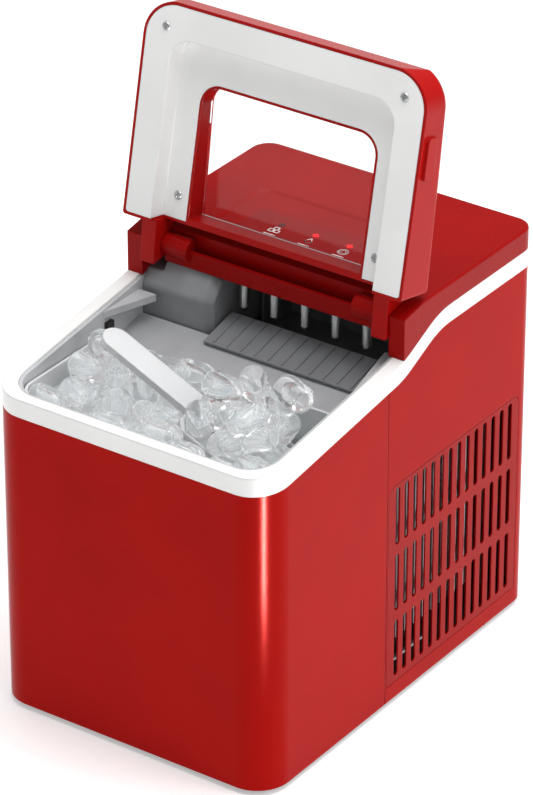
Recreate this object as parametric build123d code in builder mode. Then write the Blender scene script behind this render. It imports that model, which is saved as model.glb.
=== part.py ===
"""Countertop bullet-ice maker, as separate pieces.

Millimetres, +Z up. The origin is the centre of the footprint on the standing surface.
The front faces -Y, and the lid stands open, leaning back past upright.
"""

import os
from math import cos, radians, sin, tan

from build123d import *

os.makedirs("parts", exist_ok=True)

# ---- Driving dimensions ------------------------------------------------------------------

body_width = 222.0
body_depth = 314.0
body_height = 293.0
foot_height = 4.0
front_corner_radius = 24.6
rear_corner_radius = 14.0
casing_wall = 1.2
seam_gap = 0.6
seam_setback = 137.5  # front face to the seam between the front and rear casings
fit_gap = 0.4  # round a panel that sits in an opening
body_gap = 0.5  # between pieces that move apart

# The trim's upper edge seen from the side: a gentle rise, a ramp, then level to the back.
rim_front_height = 238.3
rim_rise_angle = 7.35
cover_setback = body_depth / 2 - 2.4  # front face to the front of the top cover
ramp_length = 42.0
ramp_rise = 19.1
ramp_radius = 60.0
trim_height = 13.2
rim_width_side = 9.3
rim_width_front = 7.4
rim_width_rear = 9.0
well_corner_radius = 22.0

# Lid, in its own plane: s runs from the hinge end to the free end, d from the liner to the back.
lid_lean = 12.0  # past upright when open
lid_length = 151.0
lid_corner_radius = 26.0
lid_hinge_thickness = 35.0
lid_free_thickness = 25.0
lid_wall = 2.0
lid_frame_width = 20.5
lid_recess_depth = 15.0
lid_recess_radius = 17.0
window_half_width = 68.5
window_top = 97.3
window_bottom = 4.5
window_radius = 14.0
pane_thickness = 2.0
hinge_setback = 11.9  # cover front to the hinge axis
hinge_height = 281.7
hinge_to_lid_s = 18.2  # hinge axis below the lid's hinge end, along the lid
hinge_to_lid_d = 21.0  # hinge axis behind the liner face
pin_radius = 2.5
running_clearance = 0.05
arm_inner_x = 87.0
arm_outer_x = 98.2
barrel_radius = 8.0
barrel_length = 20.5
lid_screw_radius = 3.2

# Top cover.
cover_wall = 3.0
cover_front_drop = 4.5
cover_slope_length = 26.0
trough_floor_height = 270.0
trough_depth = 17.0
bar_setback = 8.5
bar_height = 12.0
pocket_half_width = 70.0
pocket_front_setback = 27.0
pocket_length = 72.0
pocket_depth = 1.5
pocket_radius = 9.0
pocket_slope = 60.0
button_width = 24.0
button_depth = 12.0
button_setback = 38.4  # cover front to the buttons' middle
overlay_thickness = 0.4
indicator_pitch = 27.2
indicator_setback = 60.9

# Tank, basket and ice path.
tank_wall = 2.5
tank_top_height = 265.0
tank_rear_y = 94.5
reservoir_floor = 60.0
reservoir_rear_y = -38.0
reservoir_step_height = 150.0
reservoir_step = 9.0
tray_floor_height = 190.0
tray_floor_fall = 8.0
basket_wall = 2.0
basket_clearance = 1.0
basket_rear_y = -50.0
basket_height = 84.0
basket_rear_height = 68.0
basket_slot_pitch = 12.0
slide_front_height = 221.0
slide_angle = 13.0
slide_length = 46.0
slide_thickness = 1.6
shovel_length = 34.0

# Freezing assembly.
rod_pitch = 24.6
rod_radius = 3.6
rod_centre_x = 15.5
rod_row_y = 24.0
rod_row_gap = 20.0
rod_tip_height = 241.0
rod_length = 28.0
manifold_radius = 5.5
tray_wall = 2.0
tray_pivot_y = 60.0
tray_pivot_height = 262.0
tray_swing = 88.0
tray_shaft_radius = 3.0
motor_radius = 16.0

# Side grilles.
grille_front_y = -18.0
grille_rear_y = 141.0
grille_low = 16.0
grille_high = 170.0
grille_corner_radius = 8.0
grille_flange = 4.0
grille_face = 1.2
slot_columns = 14
slot_rows = 3
slot_pitch = 10.5
slot_width = 4.8
slot_height = 43.5
slot_row_pitch = 51.0
slot_lowest_middle = 43.0

# Cooling circuit in the compartment.
condenser_x = 93.0
condenser_width = 20.0
condenser_front_y = -13.0
condenser_low = 42.0
condenser_fin_pitch = 3.6
condenser_fin_count = 30
condenser_fin_height = 126.0
condenser_tube_radius = 3.0
condenser_tube_rows = 6
fan_y = 46.0
fan_z = 88.0
fan_radius = 50.0
compressor_radius = 46.0
compressor_height = 96.0
compressor_x = -44.0
compressor_y = 92.0
tube_radius = 3.0

drain_y = -95.0
drain_z = 72.0
drain_bore = 5.0
drain_hole = 11.2
hose_x = 60.0
hose_y = -27.0
hose_radius = 4.0

# ---- Derived places -----------------------------------------------------------------------

half_width = body_width / 2
half_depth = body_depth / 2
seam_y = seam_setback - half_depth
cover_y = cover_setback - half_depth
rim_slope = tan(radians(rim_rise_angle))
ramp_y = cover_y
ramp_height = rim_front_height + cover_setback * rim_slope
rear_trim_height = ramp_height + ramp_rise
well_half_width = half_width - rim_width_side
well_front_y = rim_width_front - half_depth
well_rear_y = half_depth - rim_width_rear
hinge_y = cover_y + hinge_setback
inner_half_width = half_width - casing_wall
pan_floor = 3.0
roof_height = body_height - cover_wall


def rim_height(y):
    """Height of the rim's upper face on its gentle front rise."""
    return rim_front_height + (y + half_depth) * rim_slope


# ---- Shared outlines ----------------------------------------------------------------------


def footprint(inset):
    """The body's plan, drawn in by a wall."""
    with BuildSketch() as plan:
        Rectangle(body_width - 2 * inset, body_depth - 2 * inset)
        fillet(plan.vertices().group_by(Axis.Y)[0], front_corner_radius - inset)
        fillet(plan.vertices().group_by(Axis.Y)[-1], rear_corner_radius - inset)
    return plan.sketch


def well_plan(inset, rear_y):
    """The plan of the well inside the trim, drawn in by a wall, back to a given place."""
    low_y = well_front_y + inset
    high_y = rear_y - inset
    with BuildSketch() as plan:
        with Locations((0, (low_y + high_y) / 2)):
            Rectangle(2 * (well_half_width - inset), high_y - low_y)
        fillet(plan.vertices().group_by(Axis.Y)[0], well_corner_radius - inset)
    return plan.sketch


def side_region(drop, low=0.0, front=-400.0, rear=400.0):
    """Side view of the space under the trim's upper edge, lowered by drop."""
    start = -half_depth - 5
    end = half_depth + 5
    with BuildSketch(Plane.YZ) as region:
        with BuildLine():
            edge = FilletPolyline(
                (start, rim_height(start) - drop),
                (ramp_y, ramp_height - drop),
                (ramp_y + ramp_length, rear_trim_height - drop),
                (end, rear_trim_height - drop),
                radius=ramp_radius,
            )
            Polyline(edge @ 1, (end, low), (start, low), edge @ 0)
        make_face()
        with Locations(((front + rear) / 2, body_height / 2)):
            Rectangle(rear - front, 3 * body_height, mode=Mode.INTERSECT)
    return region.sketch


outer_plan = footprint(0)
casing_inner_plan = footprint(casing_wall)


def save(piece, name):
    """Label a finished piece and write its file."""
    piece.part.label = name
    export_step(piece.part, "parts/" + name + ".step")


# ---- Base pan and feet --------------------------------------------------------------------

pan_inset = casing_wall + 0.2
pan_wall = 2.0
pan_height = 9.5
foot_radius = 10.0
foot_x = half_width - 24.0
foot_y = half_depth - 26.0

with BuildPart() as base_pan:
    with BuildSketch(Plane.XY.offset(foot_height)):
        add(footprint(pan_inset))
    extrude(amount=pan_height)
    with BuildSketch(Plane.XY.offset(foot_height + pan_floor)):
        add(footprint(pan_inset + pan_wall))
    extrude(amount=pan_height, mode=Mode.SUBTRACT)
    with Locations((0, -90, foot_height), (50, 45, foot_height)):
        with GridLocations(12, 0, 7, 1):
            Box(4, 44, 20, mode=Mode.SUBTRACT)
save(base_pan, "base_pan")

with BuildPart() as rubber_feet:
    with BuildSketch():
        with GridLocations(2 * foot_x, 2 * foot_y, 2, 2):
            Circle(foot_radius)
    extrude(amount=foot_height)
    chamfer(rubber_feet.faces().sort_by(Axis.Z)[0:4].edges(), 1.0)
save(rubber_feet, "rubber_feet")

# ---- Casings ------------------------------------------------------------------------------

with BuildPart() as front_casing:
    with BuildSketch(Plane.XY.offset(foot_height)):
        add(outer_plan)
        add(casing_inner_plan, mode=Mode.SUBTRACT)
    extrude(amount=body_height)
    extrude(
        side_region(trim_height, rear=seam_y - seam_gap / 2),
        amount=body_width,
        both=True,
        mode=Mode.INTERSECT,
    )
    with BuildSketch(Plane.YZ.offset(-body_width)):
        with Locations((drain_y, drain_z)):
            Circle(drain_hole)
    extrude(amount=body_width, mode=Mode.SUBTRACT)
save(front_casing, "front_casing")

grille_mid_y = (grille_front_y + grille_rear_y) / 2
grille_mid_z = (grille_low + grille_high) / 2
rear_panel_half_width = 84.0
rear_panel_low = 22.0
rear_panel_high = 240.0

with BuildPart() as rear_casing:
    with BuildSketch(Plane.XY.offset(foot_height)):
        add(outer_plan)
        add(casing_inner_plan, mode=Mode.SUBTRACT)
    extrude(amount=body_height)
    extrude(
        side_region(trim_height, front=seam_y + seam_gap / 2),
        amount=body_width,
        both=True,
        mode=Mode.INTERSECT,
    )
    with BuildSketch(Plane.YZ) as side_windows:
        with Locations((grille_mid_y, grille_mid_z)):
            Rectangle(grille_rear_y - grille_front_y, grille_high - grille_low)
        fillet(side_windows.vertices().group_by(Axis.Y)[-1], grille_corner_radius)
    extrude(amount=body_width, both=True, mode=Mode.SUBTRACT)
    with BuildSketch(Plane.XZ.offset(-half_depth - 5)) as rear_window:
        with Locations((0, (rear_panel_low + rear_panel_high) / 2)):
            RectangleRounded(2 * rear_panel_half_width, rear_panel_high - rear_panel_low, 8)
    extrude(amount=20, mode=Mode.SUBTRACT)
save(rear_casing, "rear_casing")

for name, side in (("right_grille", 1), ("left_grille", -1)):
    with BuildPart() as grille:
        with BuildSketch(Plane.YZ.offset(side * (inner_half_width - 2.0))):
            with Locations((grille_mid_y, grille_mid_z)):
                Rectangle(
                    grille_rear_y - grille_front_y + 2 * grille_flange,
                    grille_high - grille_low + grille_flange,
                )
        extrude(amount=side * 2.0)
        with BuildSketch(Plane.XY):
            add(footprint(casing_wall + 0.1))
        extrude(amount=body_height, mode=Mode.INTERSECT)
        with BuildSketch(Plane.YZ.offset(side * (inner_half_width - 1.0))) as face:
            with Locations((grille_mid_y, grille_mid_z)):
                Rectangle(
                    grille_rear_y - grille_front_y - 2 * fit_gap,
                    grille_high - grille_low - 2 * fit_gap,
                )
            fillet(face.vertices().group_by(Axis.Y)[-1], grille_corner_radius - fit_gap)
        extrude(amount=side * (casing_wall + 1.0))
        for row in range(slot_rows):
            row_z = slot_lowest_middle + row * slot_row_pitch
            with BuildSketch(Plane.YZ.offset(side * (inner_half_width - 3.0))):
                with Locations((grille_mid_y, row_z)):
                    with GridLocations(slot_pitch, 0, slot_columns, 1):
                        SlotOverall(slot_height, slot_width, rotation=90)
            extrude(amount=side * 6.0, mode=Mode.SUBTRACT)
            with BuildSketch(Plane.YZ.offset(side * (inner_half_width - 3.0))):
                with Locations((grille_mid_y, row_z)):
                    Rectangle(slot_columns * slot_pitch, slot_height + 3.0)
            extrude(amount=side * (3.0 + casing_wall - grille_face), mode=Mode.SUBTRACT)
    save(grille, name)

inlet_x = -48.0
inlet_z = 48.0
inlet_width = 27.6
inlet_height = 20.0
inlet_depth = 16.0
inlet_flange = 1.5

with BuildPart() as rear_panel:
    with BuildSketch(Plane.XZ.offset(-(half_depth - casing_wall - 2.0))):
        with Locations((0, (rear_panel_low + rear_panel_high) / 2)):
            Rectangle(2 * rear_panel_half_width + 10, rear_panel_high - rear_panel_low + 10)
    extrude(amount=-2.0)
    with BuildSketch(Plane.XZ.offset(-(half_depth - casing_wall - 0.5))):
        with Locations((0, (rear_panel_low + rear_panel_high) / 2)):
            RectangleRounded(
                2 * (rear_panel_half_width - fit_gap),
                rear_panel_high - rear_panel_low - 2 * fit_gap,
                8 - fit_gap,
            )
    extrude(amount=-(casing_wall + 0.5))
    with BuildSketch(Plane.XZ.offset(-(half_depth - 6.0))):
        with Locations((20, 150)):
            with GridLocations(9.0, 46.0, 13, 3):
                SlotOverall(38.0, 4.5, rotation=90)
        with Locations((inlet_x, inlet_z)):
            Rectangle(inlet_width, inlet_height)
    extrude(amount=-12.0, mode=Mode.SUBTRACT)
    with BuildSketch(Plane.XZ.offset(-(half_depth - inlet_flange))):
        with Locations((inlet_x, inlet_z)):
            RectangleRounded(inlet_width + 6.4, inlet_height + 6.4, 3.2)
    extrude(amount=-12.0, mode=Mode.SUBTRACT)
save(rear_panel, "rear_panel")

with BuildPart() as power_inlet:
    with BuildSketch(Plane.XZ.offset(-(half_depth - inlet_depth))):
        with Locations((inlet_x, inlet_z)):
            Rectangle(inlet_width - 2 * fit_gap, inlet_height - 2 * fit_gap)
    extrude(amount=-inlet_depth)
    with BuildSketch(Plane.XZ.offset(-(half_depth - inlet_flange))):
        with Locations((inlet_x, inlet_z)):
            RectangleRounded(inlet_width + 6, inlet_height + 6, 3)
    extrude(amount=-inlet_flange)
    with BuildSketch(Plane.XZ.offset(-(half_depth - inlet_depth + 2.0))):
        with Locations((inlet_x, inlet_z)):
            RectangleRounded(inlet_width - 4, inlet_height - 4, 3)
    extrude(amount=-20.0, mode=Mode.SUBTRACT)
    with BuildSketch(Plane.XZ.offset(-(half_depth - inlet_depth + 1.0))):
        with Locations((inlet_x - 7, inlet_z), (inlet_x, inlet_z + 3.5), (inlet_x + 7, inlet_z)):
            Rectangle(2, 4)
    extrude(amount=-12.0)
save(power_inlet, "power_inlet")

# ---- Trim rim -----------------------------------------------------------------------------

with BuildPart() as trim_rim:
    with BuildSketch(Plane.XY.offset(foot_height)):
        add(outer_plan)
        add(well_plan(0, well_rear_y), mode=Mode.SUBTRACT)
    extrude(amount=body_height)
    extrude(side_region(0), amount=body_width, both=True, mode=Mode.INTERSECT)
    extrude(side_region(trim_height), amount=body_width, both=True, mode=Mode.SUBTRACT)
save(trim_rim, "trim_rim")

# ---- Tank ---------------------------------------------------------------------------------

tank_inset = body_gap - 0.2
tank_top_drop = 1.5
tank_floor_front = tray_floor_height
tank_floor_rear = tray_floor_height + tray_floor_fall


def tank_side(inset):
    """Side view of the tank's body, drawn in by its wall: reservoir in front, tray floor behind."""
    front = well_front_y - 1
    with BuildSketch(Plane.YZ) as region:
        with BuildLine():
            Polyline(
                (front, reservoir_floor + inset),
                (reservoir_rear_y - inset, reservoir_floor + inset),
                (reservoir_rear_y - inset, tank_floor_front + inset),
                (tank_rear_y - inset, tank_floor_rear + inset),
                (tank_rear_y - inset, body_height),
                (front, body_height),
                close=True,
            )
        make_face()
    return region.sketch


ledge_front_y = cover_y - 44.0
ledge_rear_y = cover_y + 17.0

with BuildPart() as inner_tank:
    with BuildSketch(Plane.XY):
        add(well_plan(tank_inset, tank_rear_y + tank_inset))
    extrude(amount=tank_top_height)
    extrude(tank_side(0), amount=body_width, both=True, mode=Mode.INTERSECT)
    extrude(side_region(tank_top_drop), amount=body_width, both=True, mode=Mode.INTERSECT)
    with BuildSketch(Plane.XY.offset(reservoir_step_height)):
        add(well_plan(tank_inset + tank_wall, tank_rear_y + tank_inset + tank_wall))
    extrude(amount=body_height, mode=Mode.SUBTRACT)
    # The block above cut through the tray floor's space, so the floor goes back in.
    with BuildSketch(Plane.YZ) as tray_floor:
        with BuildLine():
            Polyline(
                (reservoir_rear_y - tank_wall, reservoir_step_height),
                (reservoir_rear_y, reservoir_step_height),
                (reservoir_rear_y, tank_floor_front),
                (tank_rear_y, tank_floor_rear),
                (tank_rear_y, tank_floor_rear + tank_wall),
                (reservoir_rear_y - tank_wall, tank_floor_front + tank_wall),
                close=True,
            )
        make_face()
    extrude(amount=well_half_width - tank_inset, both=True)
    with BuildSketch(Plane.YZ) as rear_wall:
        with Locations((tank_rear_y - tank_wall / 2, (tank_floor_rear + tank_top_height) / 2)):
            Rectangle(tank_wall, tank_top_height - tank_floor_rear)
    extrude(amount=well_half_width - tank_inset, both=True)
    # Reservoir, narrower than the basket's space so that the basket stands on the step.
    reservoir_inset = tank_inset + tank_wall + reservoir_step
    with BuildSketch(Plane.XY.offset(reservoir_floor + tank_wall)):
        add(well_plan(reservoir_inset, reservoir_rear_y + reservoir_inset - tank_wall))
    extrude(amount=reservoir_step_height, mode=Mode.SUBTRACT)
    # Corner ledges beside the ice path, flush with the tank's top edge.
    for side, ledge_end_y in ((1, ledge_rear_y), (-1, cover_y - 4.0)):
        with BuildSketch(Plane.XY.offset(rim_height(ledge_front_y) - tank_top_drop - 6.0)):
            with BuildLine():
                Polyline(
                    (side * (well_half_width - 1.5), ledge_front_y),
                    (side * (well_half_width - 1.5), ledge_end_y),
                    (side * (well_half_width - 17.0), ledge_end_y),
                    (side * (well_half_width - 3.0), ledge_front_y),
                    close=True,
                )
            make_face()
        extrude(amount=5.0)
    # Drain bore through the reservoir's left wall, and the hose spigot under the tray floor.
    with BuildSketch(Plane.YZ.offset(-body_width)):
        with Locations((drain_y, drain_z)):
            Circle(drain_bore)
    extrude(amount=body_width - 20, mode=Mode.SUBTRACT)
    with BuildSketch(Plane.XY.offset(tank_floor_front - 4.0)):
        with Locations((hose_x, hose_y)):
            Circle(hose_radius)
    extrude(amount=5.0)
save(inner_tank, "inner_tank")

with BuildPart() as tank_insulation:
    with BuildSketch(Plane.XY.offset(reservoir_floor)):
        add(footprint(casing_wall + 2.6))
        add(well_plan(tank_inset - 0.4, well_rear_y), mode=Mode.SUBTRACT)
    extrude(amount=body_height)
    extrude(
        side_region(trim_height + 4.0, low=reservoir_floor, rear=reservoir_rear_y),
        amount=body_width,
        both=True,
        mode=Mode.INTERSECT,
    )
    with BuildSketch(Plane.YZ.offset(-body_width)):
        with Locations((drain_y, drain_z)):
            Circle(drain_hole)
    extrude(amount=body_width, mode=Mode.SUBTRACT)
save(tank_insulation, "tank_insulation")

# ---- Basket -------------------------------------------------------------------------------

basket_inset = tank_inset + tank_wall + basket_clearance
basket_floor = reservoir_step_height + body_gap
basket_front_y = well_front_y + basket_inset
basket_mid_y = (basket_front_y + basket_rear_y) / 2
basket_half_width = well_half_width - basket_inset

with BuildPart() as ice_basket:
    with BuildSketch(Plane.XY.offset(basket_floor)):
        add(well_plan(basket_inset, basket_rear_y + basket_inset))
    extrude(amount=basket_height)
    with BuildSketch(Plane.XY.offset(basket_floor + basket_wall)):
        add(well_plan(basket_inset + basket_wall, basket_rear_y + basket_inset))
    extrude(amount=basket_height, mode=Mode.SUBTRACT)
    # The rear wall is lower, so that ice slides over it.
    with BuildSketch(Plane.XY.offset(basket_floor)):
        with Locations((0, basket_rear_y - basket_wall / 2)):
            Rectangle(2 * (basket_half_width - basket_wall), basket_wall)
    extrude(amount=basket_rear_height)
    with BuildSketch(Plane.XY.offset(basket_floor)):
        with Locations((0, basket_mid_y)):
            with GridLocations(basket_slot_pitch, 0, 13, 1):
                SlotOverall(64, 5, rotation=90)
    extrude(amount=basket_wall, mode=Mode.SUBTRACT)
    with BuildSketch(Plane.XZ.offset(-basket_front_y - basket_wall - 1)):
        with Locations((0, basket_floor + 40)):
            with GridLocations(basket_slot_pitch, 0, 11, 1):
                SlotOverall(40, 5, rotation=90)
    extrude(amount=2 * basket_wall + 2, mode=Mode.SUBTRACT)
save(ice_basket, "ice_basket")

# ---- Scoop, lying in the basket -----------------------------------------------------------

scoop_lean = 24.0
scoop_width = 58.0
scoop_blade_length = 82.0
scoop_depth = 21.0
scoop_wall = 2.4
scoop_handle_length = 82.0
scoop_handle_width = 20.0
scoop_handle_thickness = 5.0
scoop_plane = Plane(
    origin=(4.0, basket_rear_y - 38.0, basket_floor + basket_height - 22.5),
    x_dir=(-cos(radians(scoop_lean)), 0, sin(radians(scoop_lean))),
    z_dir=(sin(radians(scoop_lean)), 0, cos(radians(scoop_lean))),
)

with BuildPart() as ice_scoop:
    with BuildSketch(scoop_plane) as blade_plan:
        with BuildLine():
            Polyline(
                (-scoop_blade_length, -scoop_width * 0.34),
                (-scoop_blade_length * 0.72, -scoop_width / 2),
                (-4, -scoop_width / 2),
                (4, -scoop_width * 0.36),
                (4, scoop_width * 0.36),
                (-4, scoop_width / 2),
                (-scoop_blade_length * 0.72, scoop_width / 2),
                (-scoop_blade_length, scoop_width * 0.34),
                close=True,
            )
        make_face()
    extrude(amount=scoop_depth)
    with BuildSketch(scoop_plane.offset(scoop_wall)):
        with BuildLine():
            Polyline(
                (-2 * scoop_blade_length, -scoop_width / 2 + scoop_wall),
                (-5, -scoop_width / 2 + scoop_wall),
                (1.6, -scoop_width * 0.36 + scoop_wall),
                (1.6, scoop_width * 0.36 - scoop_wall),
                (-5, scoop_width / 2 - scoop_wall),
                (-2 * scoop_blade_length, scoop_width / 2 - scoop_wall),
                close=True,
            )
        make_face()
    extrude(amount=scoop_depth, mode=Mode.SUBTRACT)
    handle_plane = scoop_plane.offset(scoop_depth - scoop_handle_thickness)
    with BuildSketch(handle_plane):
        with Locations((scoop_handle_length / 2 + 3.0, 0)):
            SlotOverall(scoop_handle_length, scoop_handle_width)
        with Locations((6, 0)):
            Rectangle(8, scoop_handle_width)
    extrude(amount=scoop_handle_thickness)
save(ice_scoop, "ice_scoop")

# ---- Ice path -----------------------------------------------------------------------------

slide_run = slide_length * cos(radians(slide_angle))
slide_front_y = basket_rear_y + 1.0
slide_inner_half = well_half_width - tank_inset - tank_wall - 0.1
slide_plane = Plane(
    origin=(0, slide_front_y, slide_front_height),
    x_dir=(1, 0, 0),
    z_dir=(0, -sin(radians(slide_angle)), cos(radians(slide_angle))),
)
housing_left_x = -slide_inner_half
housing_right_x = rod_centre_x - 2 * rod_pitch - 9.6

with BuildPart() as ice_slide:
    with BuildSketch(slide_plane):
        with Locations((0, slide_length / 2)):
            Rectangle(2 * slide_inner_half, slide_length)
    extrude(amount=-slide_thickness)
    with BuildSketch(slide_plane.offset(-slide_thickness)):
        with Locations((0, slide_length / 2)):
            with GridLocations(30, 0, 6, 1):
                Rectangle(2.0, slide_length - 6)
    extrude(amount=-4.0)
save(ice_slide, "ice_slide")

shovel_lift = 1.4
shovel_left_x = housing_right_x + 3.0
shovel_right_x = slide_inner_half - 3.5
shovel_start = slide_length - 10.0

with BuildPart() as ice_shovel:
    with BuildSketch(slide_plane.offset(shovel_lift)):
        with Locations(((shovel_left_x + shovel_right_x) / 2, shovel_start + shovel_length / 2)):
            Rectangle(shovel_right_x - shovel_left_x, shovel_length)
    extrude(amount=1.8)
    with BuildSketch(slide_plane.offset(shovel_lift + 1.8)):
        with Locations(((shovel_left_x + shovel_right_x) / 2, shovel_start + shovel_length / 2)):
            with GridLocations(11.0, 0, 12, 1):
                Rectangle(1.0, shovel_length - 3)
    extrude(amount=0.8)
save(ice_shovel, "ice_shovel")

# ---- Evaporator ---------------------------------------------------------------------------

manifold_height = rod_tip_height + rod_length + manifold_radius
front_rods = [rod_centre_x + rod_pitch * (i - 2) for i in range(5)]
rear_rods = [rod_centre_x + rod_pitch * (i - 1.5) for i in range(4)]
rod_points = [(x, rod_row_y) for x in front_rods]
rod_points += [(x, rod_row_y + rod_row_gap) for x in rear_rods]

with BuildPart() as freezing_rods:
    with BuildSketch(Plane.XY.offset(rod_tip_height + rod_radius)):
        with Locations(rod_points):
            Circle(rod_radius)
    extrude(amount=rod_length - rod_radius + 0.6)
    with Locations([(x, y, rod_tip_height + rod_radius) for x, y in rod_points]):
        Sphere(rod_radius)
    for row_y in (rod_row_y, rod_row_y + rod_row_gap):
        with BuildSketch(Plane.YZ.offset(-body_width)):
            with Locations((row_y, manifold_height)):
                Circle(manifold_radius + 0.001)
        extrude(amount=2 * body_width, mode=Mode.SUBTRACT)
save(freezing_rods, "freezing_rods")

suction_x = -20.0
liquid_x = 50.0
stub_length = 9.0
manifold_left = front_rods[0] - 7.0
manifold_right = front_rods[-1] + 7.0

with BuildPart() as evaporator_manifold:
    with BuildSketch(Plane.YZ.offset(manifold_left)):
        with Locations((rod_row_y, manifold_height), (rod_row_y + rod_row_gap, manifold_height)):
            Circle(manifold_radius)
    extrude(amount=manifold_right - manifold_left)
    with BuildSketch(Plane.XZ.offset(-rod_row_y)):
        with Locations((manifold_right, manifold_height)):
            Circle(manifold_radius)
    extrude(amount=-rod_row_gap)
    with Locations((manifold_right, rod_row_y, manifold_height)):
        Sphere(manifold_radius)
    with Locations((manifold_right, rod_row_y + rod_row_gap, manifold_height)):
        Sphere(manifold_radius)
    with BuildSketch(Plane.XZ.offset(-(rod_row_y + rod_row_gap))):
        with Locations((suction_x, manifold_height), (liquid_x, manifold_height)):
            Circle(tube_radius + 1.0)
    extrude(amount=-stub_length)
save(evaporator_manifold, "evaporator_manifold")

# ---- Water tray, its bearing, motor and housing -------------------------------------------
# The tray is drawn level under the rods, then turned about its pivot to the tipped rest place.

tray_front_y = rod_row_y - 14.0
tray_rear_y = rod_row_y + rod_row_gap + 11.0
tray_floor_z = rod_tip_height - 6.0
tray_top_z = tray_floor_z + 33.0
tray_left_x = housing_right_x + 3.0
tray_right_x = front_rods[-1] + 20.0
bearing_x = tray_right_x + 3.0
swing = Rotation(tray_swing, 0, 0)
to_pivot = Pos(0, tray_pivot_y, tray_pivot_height)

with BuildPart() as level_tray:
    with BuildSketch(Plane.XY.offset(tray_floor_z)):
        with Locations(((tray_left_x + tray_right_x) / 2, (tray_front_y + tray_rear_y) / 2)):
            RectangleRounded(tray_right_x - tray_left_x, tray_rear_y - tray_front_y, 4)
    extrude(amount=tray_top_z - tray_floor_z)
    with BuildSketch(Plane.XY.offset(tray_floor_z + tray_wall)):
        with Locations(((tray_left_x + tray_right_x) / 2, (tray_front_y + tray_rear_y) / 2)):
            RectangleRounded(
                tray_right_x - tray_left_x - 2 * tray_wall,
                tray_rear_y - tray_front_y - 2 * tray_wall,
                2,
            )
    extrude(amount=tray_top_z, mode=Mode.SUBTRACT)
    for ear_x in (tray_left_x, tray_right_x - tray_wall):
        with BuildSketch(Plane.YZ.offset(ear_x)):
            with BuildLine():
                Polyline(
                    (tray_rear_y - 6, tray_top_z),
                    (tray_pivot_y + 4, tray_pivot_height + 5),
                    (tray_pivot_y + 5, tray_pivot_height - 4),
                    (tray_rear_y - 6, tray_floor_z + 6),
                    close=True,
                )
            make_face()
        extrude(amount=tray_wall)
    with BuildSketch(Plane.YZ.offset(tray_right_x - tray_wall)):
        with Locations((tray_pivot_y, tray_pivot_height)):
            Circle(tray_shaft_radius)
    extrude(amount=tray_wall + 9.0)
    with BuildSketch(Plane.YZ.offset(tray_left_x)):
        with Locations((tray_pivot_y, tray_pivot_height)):
            Circle(tray_shaft_radius)
    extrude(amount=-4.0)

tipped_tray = to_pivot * swing * to_pivot.inverse() * level_tray.part

with BuildPart() as water_tray:
    add(tipped_tray)
save(water_tray, "water_tray")

with BuildPart() as tray_bearing:
    with BuildSketch(Plane.YZ.offset(bearing_x)):
        with Locations((tray_pivot_y, tray_pivot_height - 2)):
            RectangleRounded(18, 22, 4)
        with Locations((tray_pivot_y, tray_pivot_height)):
            Circle(tray_shaft_radius + running_clearance, mode=Mode.SUBTRACT)
    extrude(amount=slide_inner_half - bearing_x)
save(tray_bearing, "tray_bearing")

coupling_x = tray_left_x - 4.0
coupling_length = 10.0

with BuildPart() as drive_coupling:
    with BuildSketch(Plane.YZ.offset(coupling_x)):
        with Locations((tray_pivot_y, tray_pivot_height)):
            Circle(6.0)
    extrude(amount=-coupling_length)
    with BuildSketch(Plane.YZ.offset(coupling_x - coupling_length)):
        with Locations((tray_pivot_y, tray_pivot_height)):
            Circle(2.5)
    extrude(amount=-4.0)
save(drive_coupling, "drive_coupling")

motor_right_x = coupling_x - coupling_length - 1.0
motor_length = 22.0

with BuildPart() as tray_motor:
    with BuildSketch(Plane.YZ.offset(motor_right_x)):
        with Locations((tray_pivot_y, tray_pivot_height)):
            Circle(motor_radius)
            Circle(2.5 + running_clearance, mode=Mode.SUBTRACT)
    extrude(amount=-5.0)
    with BuildSketch(Plane.YZ.offset(motor_right_x - 5.0)):
        with Locations((tray_pivot_y, tray_pivot_height)):
            Circle(motor_radius)
    extrude(amount=-(motor_length - 5.0))
save(tray_motor, "tray_motor")

housing_wall = 2.0
housing_end = 6.0
housing_low = 214.0
housing_front_y = slide_front_y + slide_run + 1.5
housing_rear_y = tray_pivot_y + motor_radius + 4.0
housing_high = tray_pivot_height + motor_radius + 3.0


def housing_side(inset):
    """Side view of the motor housing: a low rounded nose in front, and the motor's box behind."""
    step_y = cover_y + trough_depth + cover_wall + 1.0
    with BuildSketch(Plane.YZ) as region:
        with BuildLine():
            Polyline(
                (housing_front_y, housing_low + 12),
                (housing_front_y, trough_floor_height - 16),
                (housing_front_y + 12, trough_floor_height - 1.0),
                (step_y, trough_floor_height - 1.0),
                (step_y, housing_high),
                (housing_rear_y, housing_high),
                (housing_rear_y, housing_low),
                (housing_front_y + 16, housing_low),
                close=True,
            )
        make_face()
        fillet(region.vertices().group_by(Axis.X)[0], 8)
        if inset > 0:
            offset(amount=-inset, kind=Kind.INTERSECTION, mode=Mode.REPLACE)
    return region.sketch


arm_clear_x = -arm_inner_x + 0.8
arm_clear_y = cover_y + 26.5
arm_clear_z = 262.5
notch_size = 60.0
housing_length = housing_right_x - housing_left_x

# The hollow inside, and the corner cut away for the swing of the lid's left arm.
with BuildPart() as housing_hollow:
    extrude(
        housing_side(housing_wall).moved(Location((housing_left_x, 0, 0))),
        amount=housing_length - housing_end,
    )
    with BuildSketch(Plane.XY.offset(arm_clear_z - housing_wall)):
        with Locations((arm_clear_x + housing_wall, arm_clear_y + housing_wall)):
            Rectangle(notch_size, notch_size, align=(Align.MAX, Align.MAX))
    extrude(amount=notch_size, mode=Mode.SUBTRACT)

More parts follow.
